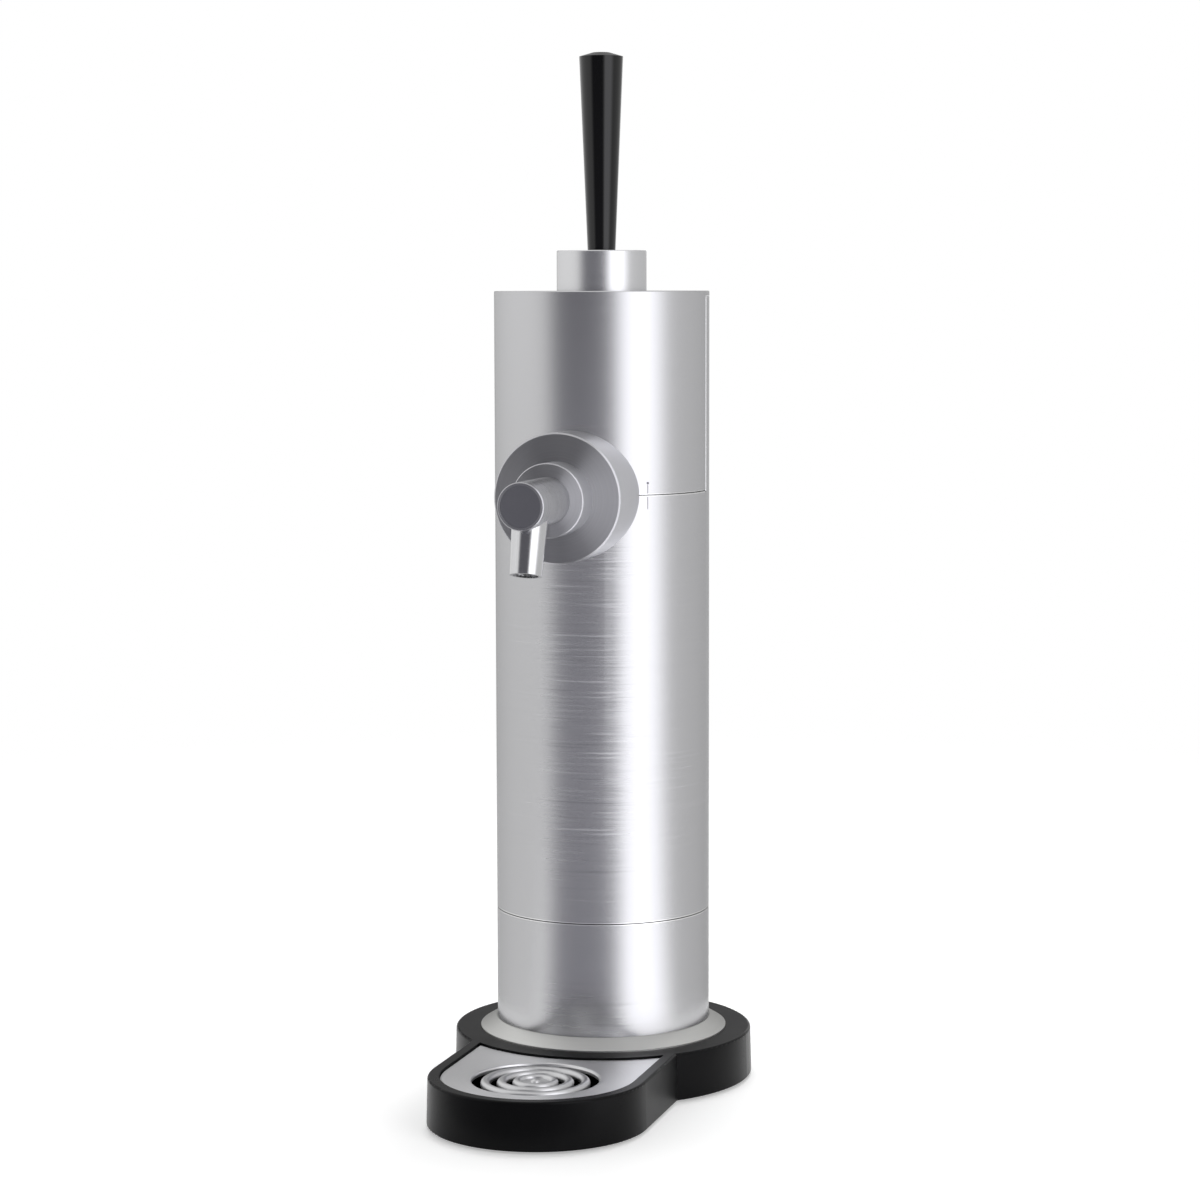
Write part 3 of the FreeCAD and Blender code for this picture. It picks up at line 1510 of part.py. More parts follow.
def make_switch_slider():
    top = slider_base + d.slider_height
    block = box_across(d.slider_half_x, -d.slider_half_y, d.slider_half_y, slider_base, top)
    reach = d.slider_half_x + d.through
    slot = box_across(reach, -slot_half, slot_half, slider_base + d.slider_floor, top + d.through)
    return cut(block, slot)


# Hinge, catch and contacts


def make_hinge_leaf_tower():
    """Curved leaf on the rear of the sleeve, with the two outer knuckles."""
    high = hinge_z
    low = high - d.hinge_leaf_height
    outer = d.tower_radius + d.hinge_leaf_thickness
    band = tube(outer, d.tower_radius, low, high)
    window = box_across(d.hinge_half_length, 0, outer + d.through, low - d.through, high + d.through)
    leaf = common(band, window)
    barrel = cylinder(
        d.hinge_barrel_radius, 2 * d.hinge_half_length, -d.hinge_half_length, hinge_y, hinge_z, "right")
    gap = d.hinge_middle_half + d.hinge_gap
    room = box_across(
        gap,
        d.tower_radius - d.through,
        hinge_y + d.hinge_barrel_radius + d.through,
        hinge_z - d.hinge_barrel_radius - d.hinge_gap,
        hinge_z + d.hinge_barrel_radius + d.through,
    )
    bore = cylinder(
        d.hinge_pin_radius + d.thread_fit,
        2 * d.hinge_half_length + 2 * d.through,
        -d.hinge_half_length - d.through,
        hinge_y,
        hinge_z,
        "right",
    )
    return cut(fuse(leaf, barrel), room, bore)


def make_hinge_rivets():
    """Two rivets through the tower leaf and the sleeve wall."""
    middle = hinge_z - d.hinge_leaf_height / 2 - d.hinge_barrel_radius
    outside = d.tower_radius + d.hinge_leaf_thickness
    return group([
        cylinder(d.rivet_radius, d.rivet_head + d.thread_fit, x, outside, middle, "back")
        for x in both_sides(d.hinge_half_length / 2)
    ])


def make_hinge_pin():
    length = 2 * d.hinge_half_length + d.through
    return cylinder(d.hinge_pin_radius, length, -length / 2, hinge_y, hinge_z, "right")


def make_hinge_leaf_head():
    """Middle knuckle, with a leaf that runs in under the cap."""
    half = d.hinge_middle_half
    knuckle = cylinder(d.hinge_barrel_radius, 2 * half, -half, hinge_y, hinge_z, "right")
    plate = box_across(
        half,
        sleeve_bore - d.hinge_leaf_reach,
        hinge_y,
        cap_underside - d.hinge_leaf_thickness,
        cap_underside,
    )
    start = -half - d.through
    pin_hole = cylinder(d.hinge_pin_radius + d.pin_fit, -2 * start, start, hinge_y, hinge_z, "right")
    leaf_low = cap_underside - d.hinge_leaf_thickness
    holes = drill(d.small_screw_radius + d.thread_fit, leaf_low, cap_underside, hinge_screw_places)
    return cut(fuse(knuckle, plate), pin_hole, *holes)


magnet_bottom = head_split


def make_catch_magnets():
    inside = sleeve_bore - d.magnet_inset
    outside = inside + d.magnet_thickness
    return group([
        box(inside, outside, -d.magnet_width, 0, magnet_bottom, chassis_level),
        box(-outside, -inside, -d.magnet_width, 0, magnet_bottom, chassis_level),
    ])


def make_catch_strikes():
    inside = sleeve_bore - d.magnet_inset
    outside = inside + d.magnet_thickness
    top = magnet_bottom - d.magnet_gap
    return group([
        box(inside, outside, -d.magnet_width, 0, well_top, top),
        box(-outside, -inside, -d.magnet_width, 0, well_top, top),
    ])


contact_block_top = tower_split - d.contact_pad


def make_contact_block():
    low = well_outer + d.body_gap * 2
    block_half = d.contact_spacing / 2 + d.contact_block_side
    block = box_across(block_half, low, low + d.contact_block_depth, well_top, contact_block_top)
    return cut(block, *drill(d.lead_radius + d.slip, well_top, contact_block_top, lead_places))


def make_tower_contacts():
    half = d.contact_pin_radius * 2
    return group([
        box(x - half, x + half, y - half / 2, y + half, contact_block_top, tower_split)
        for x, y in lead_places
    ])


def make_head_contacts():
    tip = tower_split + d.slip
    return group(bored(d.contact_pin_radius, chassis_top + d.through * 2 - tip, tip, lead_places))


def make_power_leads():
    """Two insulated leads from the battery case up behind the well to the contacts."""
    leads = []
    lead_entry = deck_underside - d.lead_entry_drop
    for x, y in lead_places:
        route = [
            at(x, bay_outer + d.thread_fit, lead_entry),
            at(x, y, lead_entry),
            at(x, y, contact_block_top - d.thread_fit),
        ]
        leads.append(swept(bent_path(route, d.lead_bend.value), d.lead_radius.value))
    return group(leads)


keep("base_housing", make_base_housing())
keep("base_cover", make_base_cover())
keep("base_screws", make_base_screws())
keep("rubber_feet", make_feet())
keep("base_ring", make_base_ring())
keep("tower_foot", make_tower_foot())
keep("lower_sleeve", make_lower_sleeve())
keep("tower_sleeve", make_tower_sleeve())
keep("deck", make_deck())
keep("can_well", make_can_well())
keep("can_pad", make_can_pad())
keep("battery_case", make_battery_case())
keep("batteries", make_batteries())
keep("top_battery_contacts", make_top_contacts())
keep("power_leads", make_power_leads())
keep("contact_block", make_contact_block())
keep("tower_contacts", make_tower_contacts())
keep("catch_strikes", make_catch_strikes())
keep("hinge_leaf_tower", make_hinge_leaf_tower())
keep("hinge_rivets", make_hinge_rivets())
keep("hinge_pin", make_hinge_pin())
keep("battery_door", make_battery_door())
keep("door_battery_contacts", make_door_contacts())
keep("drip_pan", make_drip_pan())
keep("drip_plate", make_drip_plate())
keep("front_shell", make_front_shell())
keep("top_cap", make_top_cap())
keep("hinge_leaf_head", make_hinge_leaf_head())
keep("handle_collar", make_collar())
keep("cap_screws", make_cap_screws())
keep("tap_flange", make_tap_flange())
keep("tap_hub", make_tap_hub())
keep("tap_nozzle", make_nozzle_body())
keep("nozzle_insert", make_nozzle_insert())
keep("foam_disc", make_foam_disc())
keep("tap_shank", make_tap_shank())
keep("shank_nut", make_shank_nut())
keep("outlet_elbow", make_outlet_elbow())
keep("spout", make_spout())
keep("spout_liner", make_spout_liner())
keep("head_chassis", make_head_chassis())
keep("chassis_spacers", make_spacers())
keep("upper_plate", make_upper_plate())
keep("chassis_screws", make_chassis_screws())
keep("can_seal", make_can_seal())
keep("riser_tube", make_riser())
keep("pump_head", make_pump_head())
keep("pump_motor", make_pump_motor())
keep("pump_clamp", make_pump_clamp())
keep("beer_hoses", group([make_inlet_hose(), make_outlet_hose()]))
keep("control_board", make_control_board())
keep("catch_magnets", make_catch_magnets())
keep("head_contacts", make_head_contacts())
keep("switch_body", make_switch_body())
keep("pivot_bracket", make_pivot_bracket())
keep("pivot_pin", make_pivot_pin())
keep("centring_spring", make_centring_spring())
keep("tap_handle", make_handle())
keep("handle_stem", make_handle_stem())
keep("switch_slider", make_switch_slider())

doc.recompute()
faults = []
for item in doc.Objects:
    if "Invalid" in item.State or "Error" in item.State:
        faults.append(f"{item.Label}: {item.State}")
for name, piece in subparts.items():
    if piece.Shape.isNull() or not piece.Shape.isValid() or not piece.Shape.Solids:
        faults.append(f"{name}: bad shape")
if faults:
    raise RuntimeError("; ".join(faults))

os.makedirs("parts", exist_ok=True)
for name, piece in subparts.items():
    piece.Shape.exportStep(f"parts/{name}.step")
    print(name, len(piece.Shape.Solids), round(piece.Shape.Volume, 1))
print(len(subparts), "nodes")
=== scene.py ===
import json
import math

import bpy
from mathutils import Matrix, Vector


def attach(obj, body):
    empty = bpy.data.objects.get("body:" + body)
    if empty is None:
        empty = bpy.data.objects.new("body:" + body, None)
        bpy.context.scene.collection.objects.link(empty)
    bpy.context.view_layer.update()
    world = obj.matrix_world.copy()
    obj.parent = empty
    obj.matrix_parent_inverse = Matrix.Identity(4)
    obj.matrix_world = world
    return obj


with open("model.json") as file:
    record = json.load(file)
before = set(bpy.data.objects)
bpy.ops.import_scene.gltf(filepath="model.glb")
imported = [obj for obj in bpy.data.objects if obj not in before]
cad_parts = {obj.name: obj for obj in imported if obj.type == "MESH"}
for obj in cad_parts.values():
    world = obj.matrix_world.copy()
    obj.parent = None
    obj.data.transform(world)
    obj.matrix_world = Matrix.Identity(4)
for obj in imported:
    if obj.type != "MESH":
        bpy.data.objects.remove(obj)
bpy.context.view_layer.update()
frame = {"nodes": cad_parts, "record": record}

# Places on the part in metres, which the camera, the looks and the marks share
AXIS_Y = 0.03605  # the tower's axis
TOWER_RADIUS = 0.044
FOOT_SEAM_Z = 0.0709
TAP_Z = 0.2438  # the tap's axis, level with the seam under the head
CAP_Z = 0.3228  # the cap's underside, where the side seams end
RINGS_Y = -0.05795  # the middle of the drip plate's rings
RINGS_RADIUS = 0.0252  # the outermost ring slot

SEAM_HALF_WIDTH = 0.00056  # a seam's gap and the bevels beside it, where a painted highlight lies
MARK_TURN = math.radians(40.8)  # the alignment mark, turned from the tap

UP = (0.0, 0.0, 1.0)
ALONG_TAP = (0.0, 1.0, 0.0)
TOWER_AXIS = (0.0, AXIS_Y, 0.0)
TAP_AXIS = (0.0, 0.0, TAP_Z)
RINGS_AXIS = (0.0, RINGS_Y, 0.0)

WHITE = (1, 1, 1)
BLACK = (0, 0, 0)


class Nodes:
    """A short way to write a node tree. A value is a number, a tuple or another node's output."""

    def __init__(self, tree):
        self.tree = tree
        tree.nodes.clear()

    def add(self, kind, **values):
        """A node with settings, or inputs, by name."""
        node = self.tree.nodes.new(kind)
        for key, value in values.items():
            if hasattr(node, key):
                setattr(node, key, value)
            else:
                self.put(node.inputs[key.replace("_", " ")], value)
        return node

    def put(self, socket, value):
        if isinstance(value, bpy.types.NodeSocket):
            self.tree.links.new(value, socket)
        else:
            socket.default_value = value

    def fill(self, node, *values):
        for socket, value in zip(node.inputs, values):
            self.put(socket, value)
        return node

    def output(self, shader, kind="ShaderNodeOutputMaterial"):
        self.fill(self.add(kind), shader)

    def math(self, operation, *values):
        return self.fill(self.add("ShaderNodeMath", operation=operation), *values).outputs[0]

    def vector(self, operation, *values):
        node = self.add("ShaderNodeVectorMath", operation=operation)
        sockets = [s for s in node.inputs if s.name != "Scale"]
        for socket, value in zip(sockets, values):
            self.put(socket, value)
        if operation == "SCALE":
            self.put(node.inputs["Scale"], values[-1])
        return node.outputs["Value" if operation in ("DOT_PRODUCT", "LENGTH") else "Vector"]

    def split(self, place):
        """The three coordinates of a place."""
        return self.fill(self.add("ShaderNodeSeparateXYZ"), place).outputs

    def change(self, value, kind, start, end):
        """A direction of one space in another."""
        node = self.add("ShaderNodeVectorTransform", vector_type=kind, convert_from=start, convert_to=end)
        return self.fill(node, value).outputs[0]

    def noise(self, place, grain, detail=2.0, roughness=0.5):
        """Noise from 0 to 1, with so many grains per metre along each axis."""
        node = self.add("ShaderNodeTexNoise", Scale=1.0, Detail=detail, Roughness=roughness)
        self.put(node.inputs["Vector"], self.vector("MULTIPLY", place, grain))
        return node.outputs["Fac"]

    def spread(self, value, low, high, start=0.0, end=1.0):
        """Goes smoothly from low to high while the value goes from start to end."""
        node = self.add("ShaderNodeMapRange", interpolation_type="SMOOTHSTEP", Value=value)
        for name, number in (("From Min", start), ("From Max", end), ("To Min", low), ("To Max", high)):
            self.put(node.inputs[name], number)
        return node.outputs["Result"]

    def weigh(self, share, one, two):
        """Share of one, and the rest of two."""
        return self.math("ADD", self.math("MULTIPLY", one, share), self.math("MULTIPLY", two, 1 - share))

    def product(self, *values):
        result = values[0]
        for value in values[1:]:
            result = self.math("MULTIPLY", result, value)
        return result

    def blend(self, share, low, high):
        """A colour between two."""
        node = self.add("ShaderNodeMix", data_type="RGBA")
        self.put(node.inputs["Factor"], share)
        sockets = [s for s in node.inputs if s.type == "RGBA"]
        for socket, colour in zip(sockets, (low, high)):
            self.put(socket, (*colour, 1) if isinstance(colour, tuple) else colour)
        return [s for s in node.outputs if s.type == "RGBA"][0]

    def blend_shaders(self, share, low, high):
        return self.fill(self.add("ShaderNodeMixShader"), share, low, high).outputs[0]

    def seen(self):
        """1 for rays that the camera sees, also in reflections, and 0 for rays that light the part."""
        path = self.add("ShaderNodeLightPath").outputs
        direct = self.math("MAXIMUM", path["Is Camera Ray"], path["Is Glossy Ray"])
        return self.math("MAXIMUM", direct, path["Is Transmission Ray"])

    def place(self):
        """The place on the piece in its own coordinates, which stay with it when it moves."""
        return self.add("ShaderNodeTexCoord").outputs["Object"]

    def normal(self):
        return self.add("ShaderNodeNewGeometry").outputs["Normal"]


def new_material(name):
    material = bpy.data.materials.new(name)
    material.use_nodes = True
    return material, Nodes(material.node_tree)


def new_mesh(name, verts, faces, material, smooth=True):
    mesh = bpy.data.meshes.new(name)
    mesh.from_pydata(verts, [], faces)
    mesh.validate()
    mesh.update()
    if smooth:
        mesh.shade_smooth()
    mesh.materials.append(material)
    ob = bpy.data.objects.new(name, mesh)
    bpy.context.collection.objects.link(ob)
    return ob


def round_tower(radius, angle, z):
    """A point at a distance from the tower's axis, at an angle from the tap's side."""
    return radius * math.sin(angle), AXIS_Y - radius * math.cos(angle), z


# Camera and studio

def make_camera():
    """The photograph's camera, solved from the tower's edges, seams and the base."""
    turn = math.radians(16.4)
    distance, height, focal_length_mm = 1.30224, 0.32691, 95.186
    pitch, yaw, roll = (math.radians(angle) for angle in (5.657526, -0.043553, -0.134923))
    ahead = Vector((math.sin(yaw) * math.cos(pitch), math.cos(yaw) * math.cos(pitch), -math.sin(pitch)))
    level = Vector((math.cos(yaw), -math.sin(yaw), 0))
    upright = level.cross(ahead)
    right = math.cos(roll) * level + math.sin(roll) * upright
    up = -math.sin(roll) * level + math.cos(roll) * upright
    spin = Matrix.Rotation(turn, 3, "Z")
    axes = Matrix((spin @ right, spin @ up, spin @ -ahead)).transposed()
    place = spin @ Vector((0, -distance, height)) + Vector(TOWER_AXIS)
    data = bpy.data.cameras.new("camera")
    data.lens = focal_length_mm
    data.sensor_width = 36
    data.clip_start = 0.05
    data.clip_end = 60
    camera = bpy.data.objects.new("camera", data)
    bpy.context.collection.objects.link(camera)
    camera.matrix_world = Matrix.Translation(place) @ axes.to_4x4()
    bpy.context.scene.camera = camera


def make_world():
    """A backdrop that is seen white, and lights the part less."""
    seen_white, light_level = 1.0, 0.32
    world = bpy.data.worlds.new("studio")
    bpy.context.scene.world = world
    world.use_nodes = True
    n = Nodes(world.node_tree)
    light = n.add("ShaderNodeBackground", Color=(*WHITE, 1), Strength=light_level)
    white = n.add("ShaderNodeBackground", Color=(*WHITE, 1), Strength=seen_white)
    n.output(n.blend_shaders(n.seen(), light.outputs[0], white.outputs[0]), "ShaderNodeOutputWorld")


def make_floor():
    """A pale floor that keeps the shadow and fades into the backdrop."""
    half, fade_start, fade_end = 2.5, 0.35, 1.1
    paint_level, glow_level = 0.80, 0.40
    material, n = new_material("floor_white")
    paint = n.add("ShaderNodeBsdfDiffuse", Color=(paint_level, paint_level, paint_level, 1))
    glow = n.add("ShaderNodeEmission", Color=(*WHITE, 1), Strength=n.math("MULTIPLY", n.seen(), glow_level))
    floor = n.fill(n.add("ShaderNodeAddShader"), paint.outputs[0], glow.outputs[0]).outputs[0]
    fade = n.spread(n.vector("LENGTH", n.place()), 0.0, 1.0, fade_start, fade_end)
    clear = n.add("ShaderNodeBsdfTransparent").outputs[0]
    n.output(n.blend_shaders(fade, floor, clear))
    corners = [(-half, -half, 0), (half, -half, 0), (half, half, 0), (-half, half, 0)]
    new_mesh("floor", corners, [(0, 1, 2, 3)], material)


def card_material(name, start, end, feathers, radiances, colour):
    """Light that fades out past both ends, and goes from one radiance to the other with the height."""
    full_height = 0.5
    material, n = new_material(name)
    x, y, z = n.split(n.place())
    angle = n.math("ARCTAN2", x, n.math("SUBTRACT", AXIS_Y, y))
    aside = n.math("WRAP", n.math("SUBTRACT", angle, (start + end) / 2), math.pi, -math.pi)
    half = (end - start) / 2
    first, last = feathers
    cover = n.math("MULTIPLY", n.spread(aside, 0.0, 1.0, -half - first, -half + first),
                   n.spread(aside, 1.0, 0.0, half - last, half + last))
    strength = n.spread(z, *radiances, 0.0, full_height)
    glow = n.add("ShaderNodeEmission", Color=(*colour, 1), Strength=strength).outputs[0]
    clear = n.add("ShaderNodeBsdfTransparent").outputs[0]
    n.output(n.blend_shaders(cover, clear, glow))
    return material


def make_card(name, ends, feathers, radiances, radius, colour=WHITE):
    """A card that only reflections see: an arc round the tower between two angles, with a foot."""
    steps, bend_steps = 48, 6
    inner, lift, bend, top = 0.15, 0.0015, 0.12, 1.25
    start, end = (math.radians(angle) for angle in ends)
    feathers = tuple(math.radians(angle) for angle in feathers)
    profile = [(inner, lift), (radius - bend, lift)]
    for i in range(1, bend_steps + 1):
        a = math.radians(90 * i / bend_steps)
        profile.append((radius - bend + bend * math.sin(a), lift + bend - bend * math.cos(a)))
    profile.append((radius, top))
    first, sweep = start - feathers[0], end - start + sum(feathers)
    verts = [round_tower(r, first + sweep * i / steps, z) for i in range(steps + 1) for r, z in profile]
    m = len(profile)
    faces = [(a, a + m, a + m + 1, a + 1) for i in range(steps) for a in range(i * m, i * m + m - 1)]
    ob = new_mesh(name, verts, faces, card_material(name, start, end, feathers, radiances, colour))
    ob.visible_camera = False
    ob.visible_diffuse = False
    ob.visible_shadow = False
    ob.visible_transmission = False
    ob.visible_volume_scatter = False


def make_lamp(name, angle, distance, height, size, power):
    """A soft lamp, aimed at the part's middle, that reflections don't see."""
    middle = Vector((0, 0, 0.15))
    place = Vector(round_tower(distance, math.radians(angle), height))
    data = bpy.data.lights.new(name, "AREA")
    data.shape = "RECTANGLE"
    data.size, data.size_y = size
    data.energy = power
    ob = bpy.data.objects.new(name, data)
    bpy.context.collection.objects.link(ob)
    aim = (middle - place).to_track_quat("-Z", "Y")
    ob.matrix_world = Matrix.Translation(place) @ aim.to_matrix().to_4x4()
    ob.visible_glossy = False


# Materials

def surface(name, build, **fixed):
    """A material whose uniform numbers are fixed, and whose build adds what changes over the piece."""
    material, n = new_material(name)
    shader = n.add("ShaderNodeBsdfPrincipled")
    for key, value in fixed.items():
        shader.inputs[key.replace("_", " ")].default_value = value
    build(n, shader, n.place())
    n.output(shader.outputs[0])
    return material


def shades(colour, spread):
    """The colour a little darker and a little lighter."""
    return tuple(c * (1 - spread) for c in colour), tuple(min(1, c * (1 + spread)) for c in colour)


def around(n, place, centre, axis):
    """The direction round an axis, the one across it on the surface, and the offset from the centre."""
    off = n.vector("SUBTRACT", place, centre)
    turn = n.vector("NORMALIZE", n.vector("CROSS_PRODUCT", axis, off))
    turn = n.change(turn, "VECTOR", "OBJECT", "WORLD")
    across = n.vector("NORMALIZE", n.vector("CROSS_PRODUCT", n.normal(), turn))
    return turn, across, off


def painted_seam_highlight(n, y, z):
    """Where a painted highlight lies along the tower's seams, standing for their bevels catching the light:
    at its foot, across its front and up its sides.
    """
    side_share = 0.3
    foot_seam = n.math("COMPARE", z, FOOT_SEAM_Z, SEAM_HALF_WIDTH)
    tap_seam = n.product(n.math("COMPARE", z, TAP_Z, SEAM_HALF_WIDTH), n.math("LESS_THAN", y, AXIS_Y))
    beside_head = n.math("COMPARE", z, (TAP_Z + CAP_Z) / 2, (CAP_Z - TAP_Z) / 2)
    side_seam = n.product(n.math("COMPARE", y, AXIS_Y, SEAM_HALF_WIDTH), beside_head, side_share)
    return n.math("MAXIMUM", n.math("MAXIMUM", foot_seam, tap_seam), side_seam)


def wear(n, x, y, z, cloud):
    """How much the brushing is scratched: on the lower tower and its foot, most at the front."""
    low_start, low_end, high_start, high_end = 0.055, 0.12, 0.215, 0.235
    foot_start, foot_end, foot_share = 0.036, 0.056, 0.6
    front, near_front, past_front, rest = 0.12, 0.24, 0.50, 0.10
    tower = n.product(n.spread(z, 0.0, 1.0, low_start, low_end),
                      n.spread(z, 1.0, 0.0, high_start, high_end))
    foot = n.product(n.spread(z, 1.0, 0.0, foot_start, foot_end), foot_share)
    patches = n.spread(cloud, 0.45, 1.25, 0.35, 0.65)
    bearing = n.math("ARCTAN2", x, n.math("SUBTRACT", AXIS_Y, y))
    aside = n.math("ABSOLUTE", n.math("SUBTRACT", bearing, front))
    ahead = n.spread(aside, 1.0, rest, near_front, past_front)
    return n.product(n.math("ADD", tower, foot), patches, ahead)


def brushed(name, colour, rough, aniso, sway, streak, tower=False, **fixed):
    """Metal brushed round the tower's axis. The tower also has pale and deep scratches, and a painted
    highlight along its seams.
    """
    fine_grain, broad_grain, clouds = (75, 75, 4200), (40, 40, 1700), (14, 14, 20)
    pale_grain, deep_grain, wave_grain = (22, 22, 1100), (20, 20, 1200), (10, 10, 1050)
    pale_share, pale_colour, pale_rough = 0.50, (0.86, 0.86, 0.87), 0.10
    deep_share, deep_shade, deep_shift = 0.30, 0.3, (0.31, 0.17, 0.05)
    # the colour of the painted highlight along the seams
    seam_highlight_colour = (0.86, 0.86, 0.86)
    soft, grain_tilt, wave_tilt = 0.01, 0.3, 4.0

    def build(n, s, place):
        turn, _, _ = around(n, place, TOWER_AXIS, UP)
        x, y, z = n.split(place)
        fine = n.noise(place, fine_grain, 3.0, 0.6)
        broad = n.noise(place, broad_grain)
        cloud = n.noise(place, clouds)
        grain = n.weigh(0.6, fine, broad)
        worn = wear(n, x, y, z, cloud)
        base = n.blend(n.spread(n.weigh(0.75, grain, cloud), 0.0, 1.0, 0.3, 0.7), *shades(colour, streak))
        roughness = n.spread(grain, rough - soft, rough + soft, 0.3, 0.7)
        if tower:
            pale = n.noise(place, pale_grain, 2.0, 0.55)
            pale = n.product(n.spread(pale, 0.0, 1.0, 0.54, 0.74), worn)
            deep = n.noise(n.vector("ADD", place, deep_shift), deep_grain, 2.0, 0.55)
            deep = n.product(n.spread(deep, 0.0, 1.0, 0.55, 0.74), worn)
            base = n.blend(n.product(deep, deep_share), base, tuple(c * deep_shade for c in colour))
            base = n.blend(n.product(pale, pale_share), base, pale_colour)
            # a pale band along the seams: a painted highlight for their bevels catching the light
            base = n.blend(painted_seam_highlight(n, y, z), base, seam_highlight_colour)
            roughness = n.math("ADD", roughness, n.product(pale, pale_rough))
        wave = n.noise(place, wave_grain, 2.0, 0.6)
        wave = n.product(n.math("SUBTRACT", wave, 0.5), worn, wave_tilt)
        tilt = n.math("ADD", n.product(n.math("SUBTRACT", grain, 0.5), grain_tilt), wave)
        bent = n.vector("ADD", n.normal(), n.vector("SCALE", turn, n.product(tilt, sway)))
        n.put(s.inputs["Base Color"], base)
        n.put(s.inputs["Roughness"], roughness)
        n.put(s.inputs["Tangent"], turn)
        n.put(s.inputs["Normal"], n.vector("NORMALIZE", bent))

    return surface(name, build, Metallic=1.0, Anisotropic=aniso, **fixed)


def turned(name, colour, rough, aniso, centre, axis, streak, faces=1.0, round_off=0.0, slant=0.0, fan=0.0,
           core=None):
    """Metal with the fine rings that a lathe leaves round an axis.

    The end faces can be darker (faces), slightly rounded (round_off), leaning sideways (slant) and with
    broader fans of light (fan). A core of a given radius can be darker.
    """
    rings_per_metre, clouds = 2600.0, (60, 60, 60)
    smoother, rougher, core_edge = 0.04, 0.05, 0.0006
    barrel_facing, end_facing = 0.6, 0.95

    def build(n, s, place):
        _, across, off = around(n, place, centre, axis)
        along = n.vector("DOT_PRODUCT", off, axis)
        flat = n.vector("SUBTRACT", off, n.vector("SCALE", axis, along))
        reach = n.vector("LENGTH", flat)
        rings = n.add("ShaderNodeCombineXYZ", X=n.product(reach, rings_per_metre),
                      Y=n.product(along, rings_per_metre))
        lines = n.noise(rings.outputs[0], (1, 1, 1), 2.0, 0.6)
        both = n.weigh(0.75, lines, n.noise(place, clouds))
        normal = n.normal()
        facing = n.vector("DOT_PRODUCT", n.change(normal, "NORMAL", "WORLD", "OBJECT"), axis)
        face = n.spread(n.math("ABSOLUTE", facing), 0.0, 1.0, barrel_facing, end_facing)
        base = n.blend(n.spread(both, 0.0, 1.0, 0.3, 0.7), *shades(colour, streak))
        if faces != 1.0:
            base = n.blend(n.product(face, 1 - faces), base, BLACK)
        if core:
            radius, fall = core
            inside = n.spread(reach, fall, 0.0, radius - core_edge, radius + core_edge)
            base = n.blend(inside, base, BLACK)
        roughness = n.spread(both, rough - smoother, rough + rougher, 0.3, 0.7)
        if fan:
            roughness = n.math("ADD", roughness, n.product(face, fan))
            n.put(s.inputs["Anisotropic"], n.spread(face, aniso, 1.0))
        if round_off:
            outward = n.vector("SCALE", flat, n.product(face, round_off))
            lean = n.vector("ADD", outward, n.vector("SCALE", (slant, 0.0, 0.0), face))
            bent = n.vector("ADD", normal, n.change(lean, "VECTOR", "OBJECT", "WORLD"))
            n.put(s.inputs["Normal"], n.vector("NORMALIZE", bent))
        n.put(s.inputs["Base Color"], base)
        n.put(s.inputs["Roughness"], roughness)
        n.put(s.inputs["Tangent"], across)

    return surface(name, build, Metallic=1.0, Anisotropic=aniso)


def cast(name, colour, metal, rough, grain, depth, streak, soft, gloss):
    """Moulded, cast, drawn or rolled stuff with a fine grain."""
    clouds = (45, 45, 45)

    def build(n, s, place):
        fine = n.noise(place, (grain, grain, grain), 3.0, 0.6)
        both = n.weigh(0.5, fine, n.noise(place, clouds, 3.0))
        bump = n.add("ShaderNodeBump", Strength=1.0, Distance=depth, Height=fine)
        shade = n.spread(both, 0.0, 1.0, 0.32, 0.68)
        n.put(s.inputs["Base Color"], n.blend(shade, *shades(colour, streak)))
        n.put(s.inputs["Roughness"], n.spread(both, rough - soft, rough + soft, 0.32, 0.68))
        n.put(s.inputs["Normal"], bump.outputs["Normal"])

    return surface(name, build, Metallic=metal, Specular_IOR_Level=gloss)


def edge_tint(level):
    """How much of the light a metal still reflects at a grazing angle."""
    return {"Specular_Tint": (level, level, level, 1.0)}


# Metal brushed round the tower: colour, roughness, anisotropy, sway of the normals, spread of the colour,
# whether it is the tower, and the share of light that it reflects at a grazing angle
BRUSHED = {
    "brushed_steel": ((0.56, 0.56, 0.57), 0.255, 0.75, 0.03, 0.007, True, 0.72),
    "collar_steel": ((0.645, 0.645, 0.655), 0.25, 0.75, 0.01, 0.005, False, 0.85),
    "satin_aluminium": ((0.64, 0.64, 0.625), 0.40, 0.30, 0.02, 0.02, False, 0.25),
}

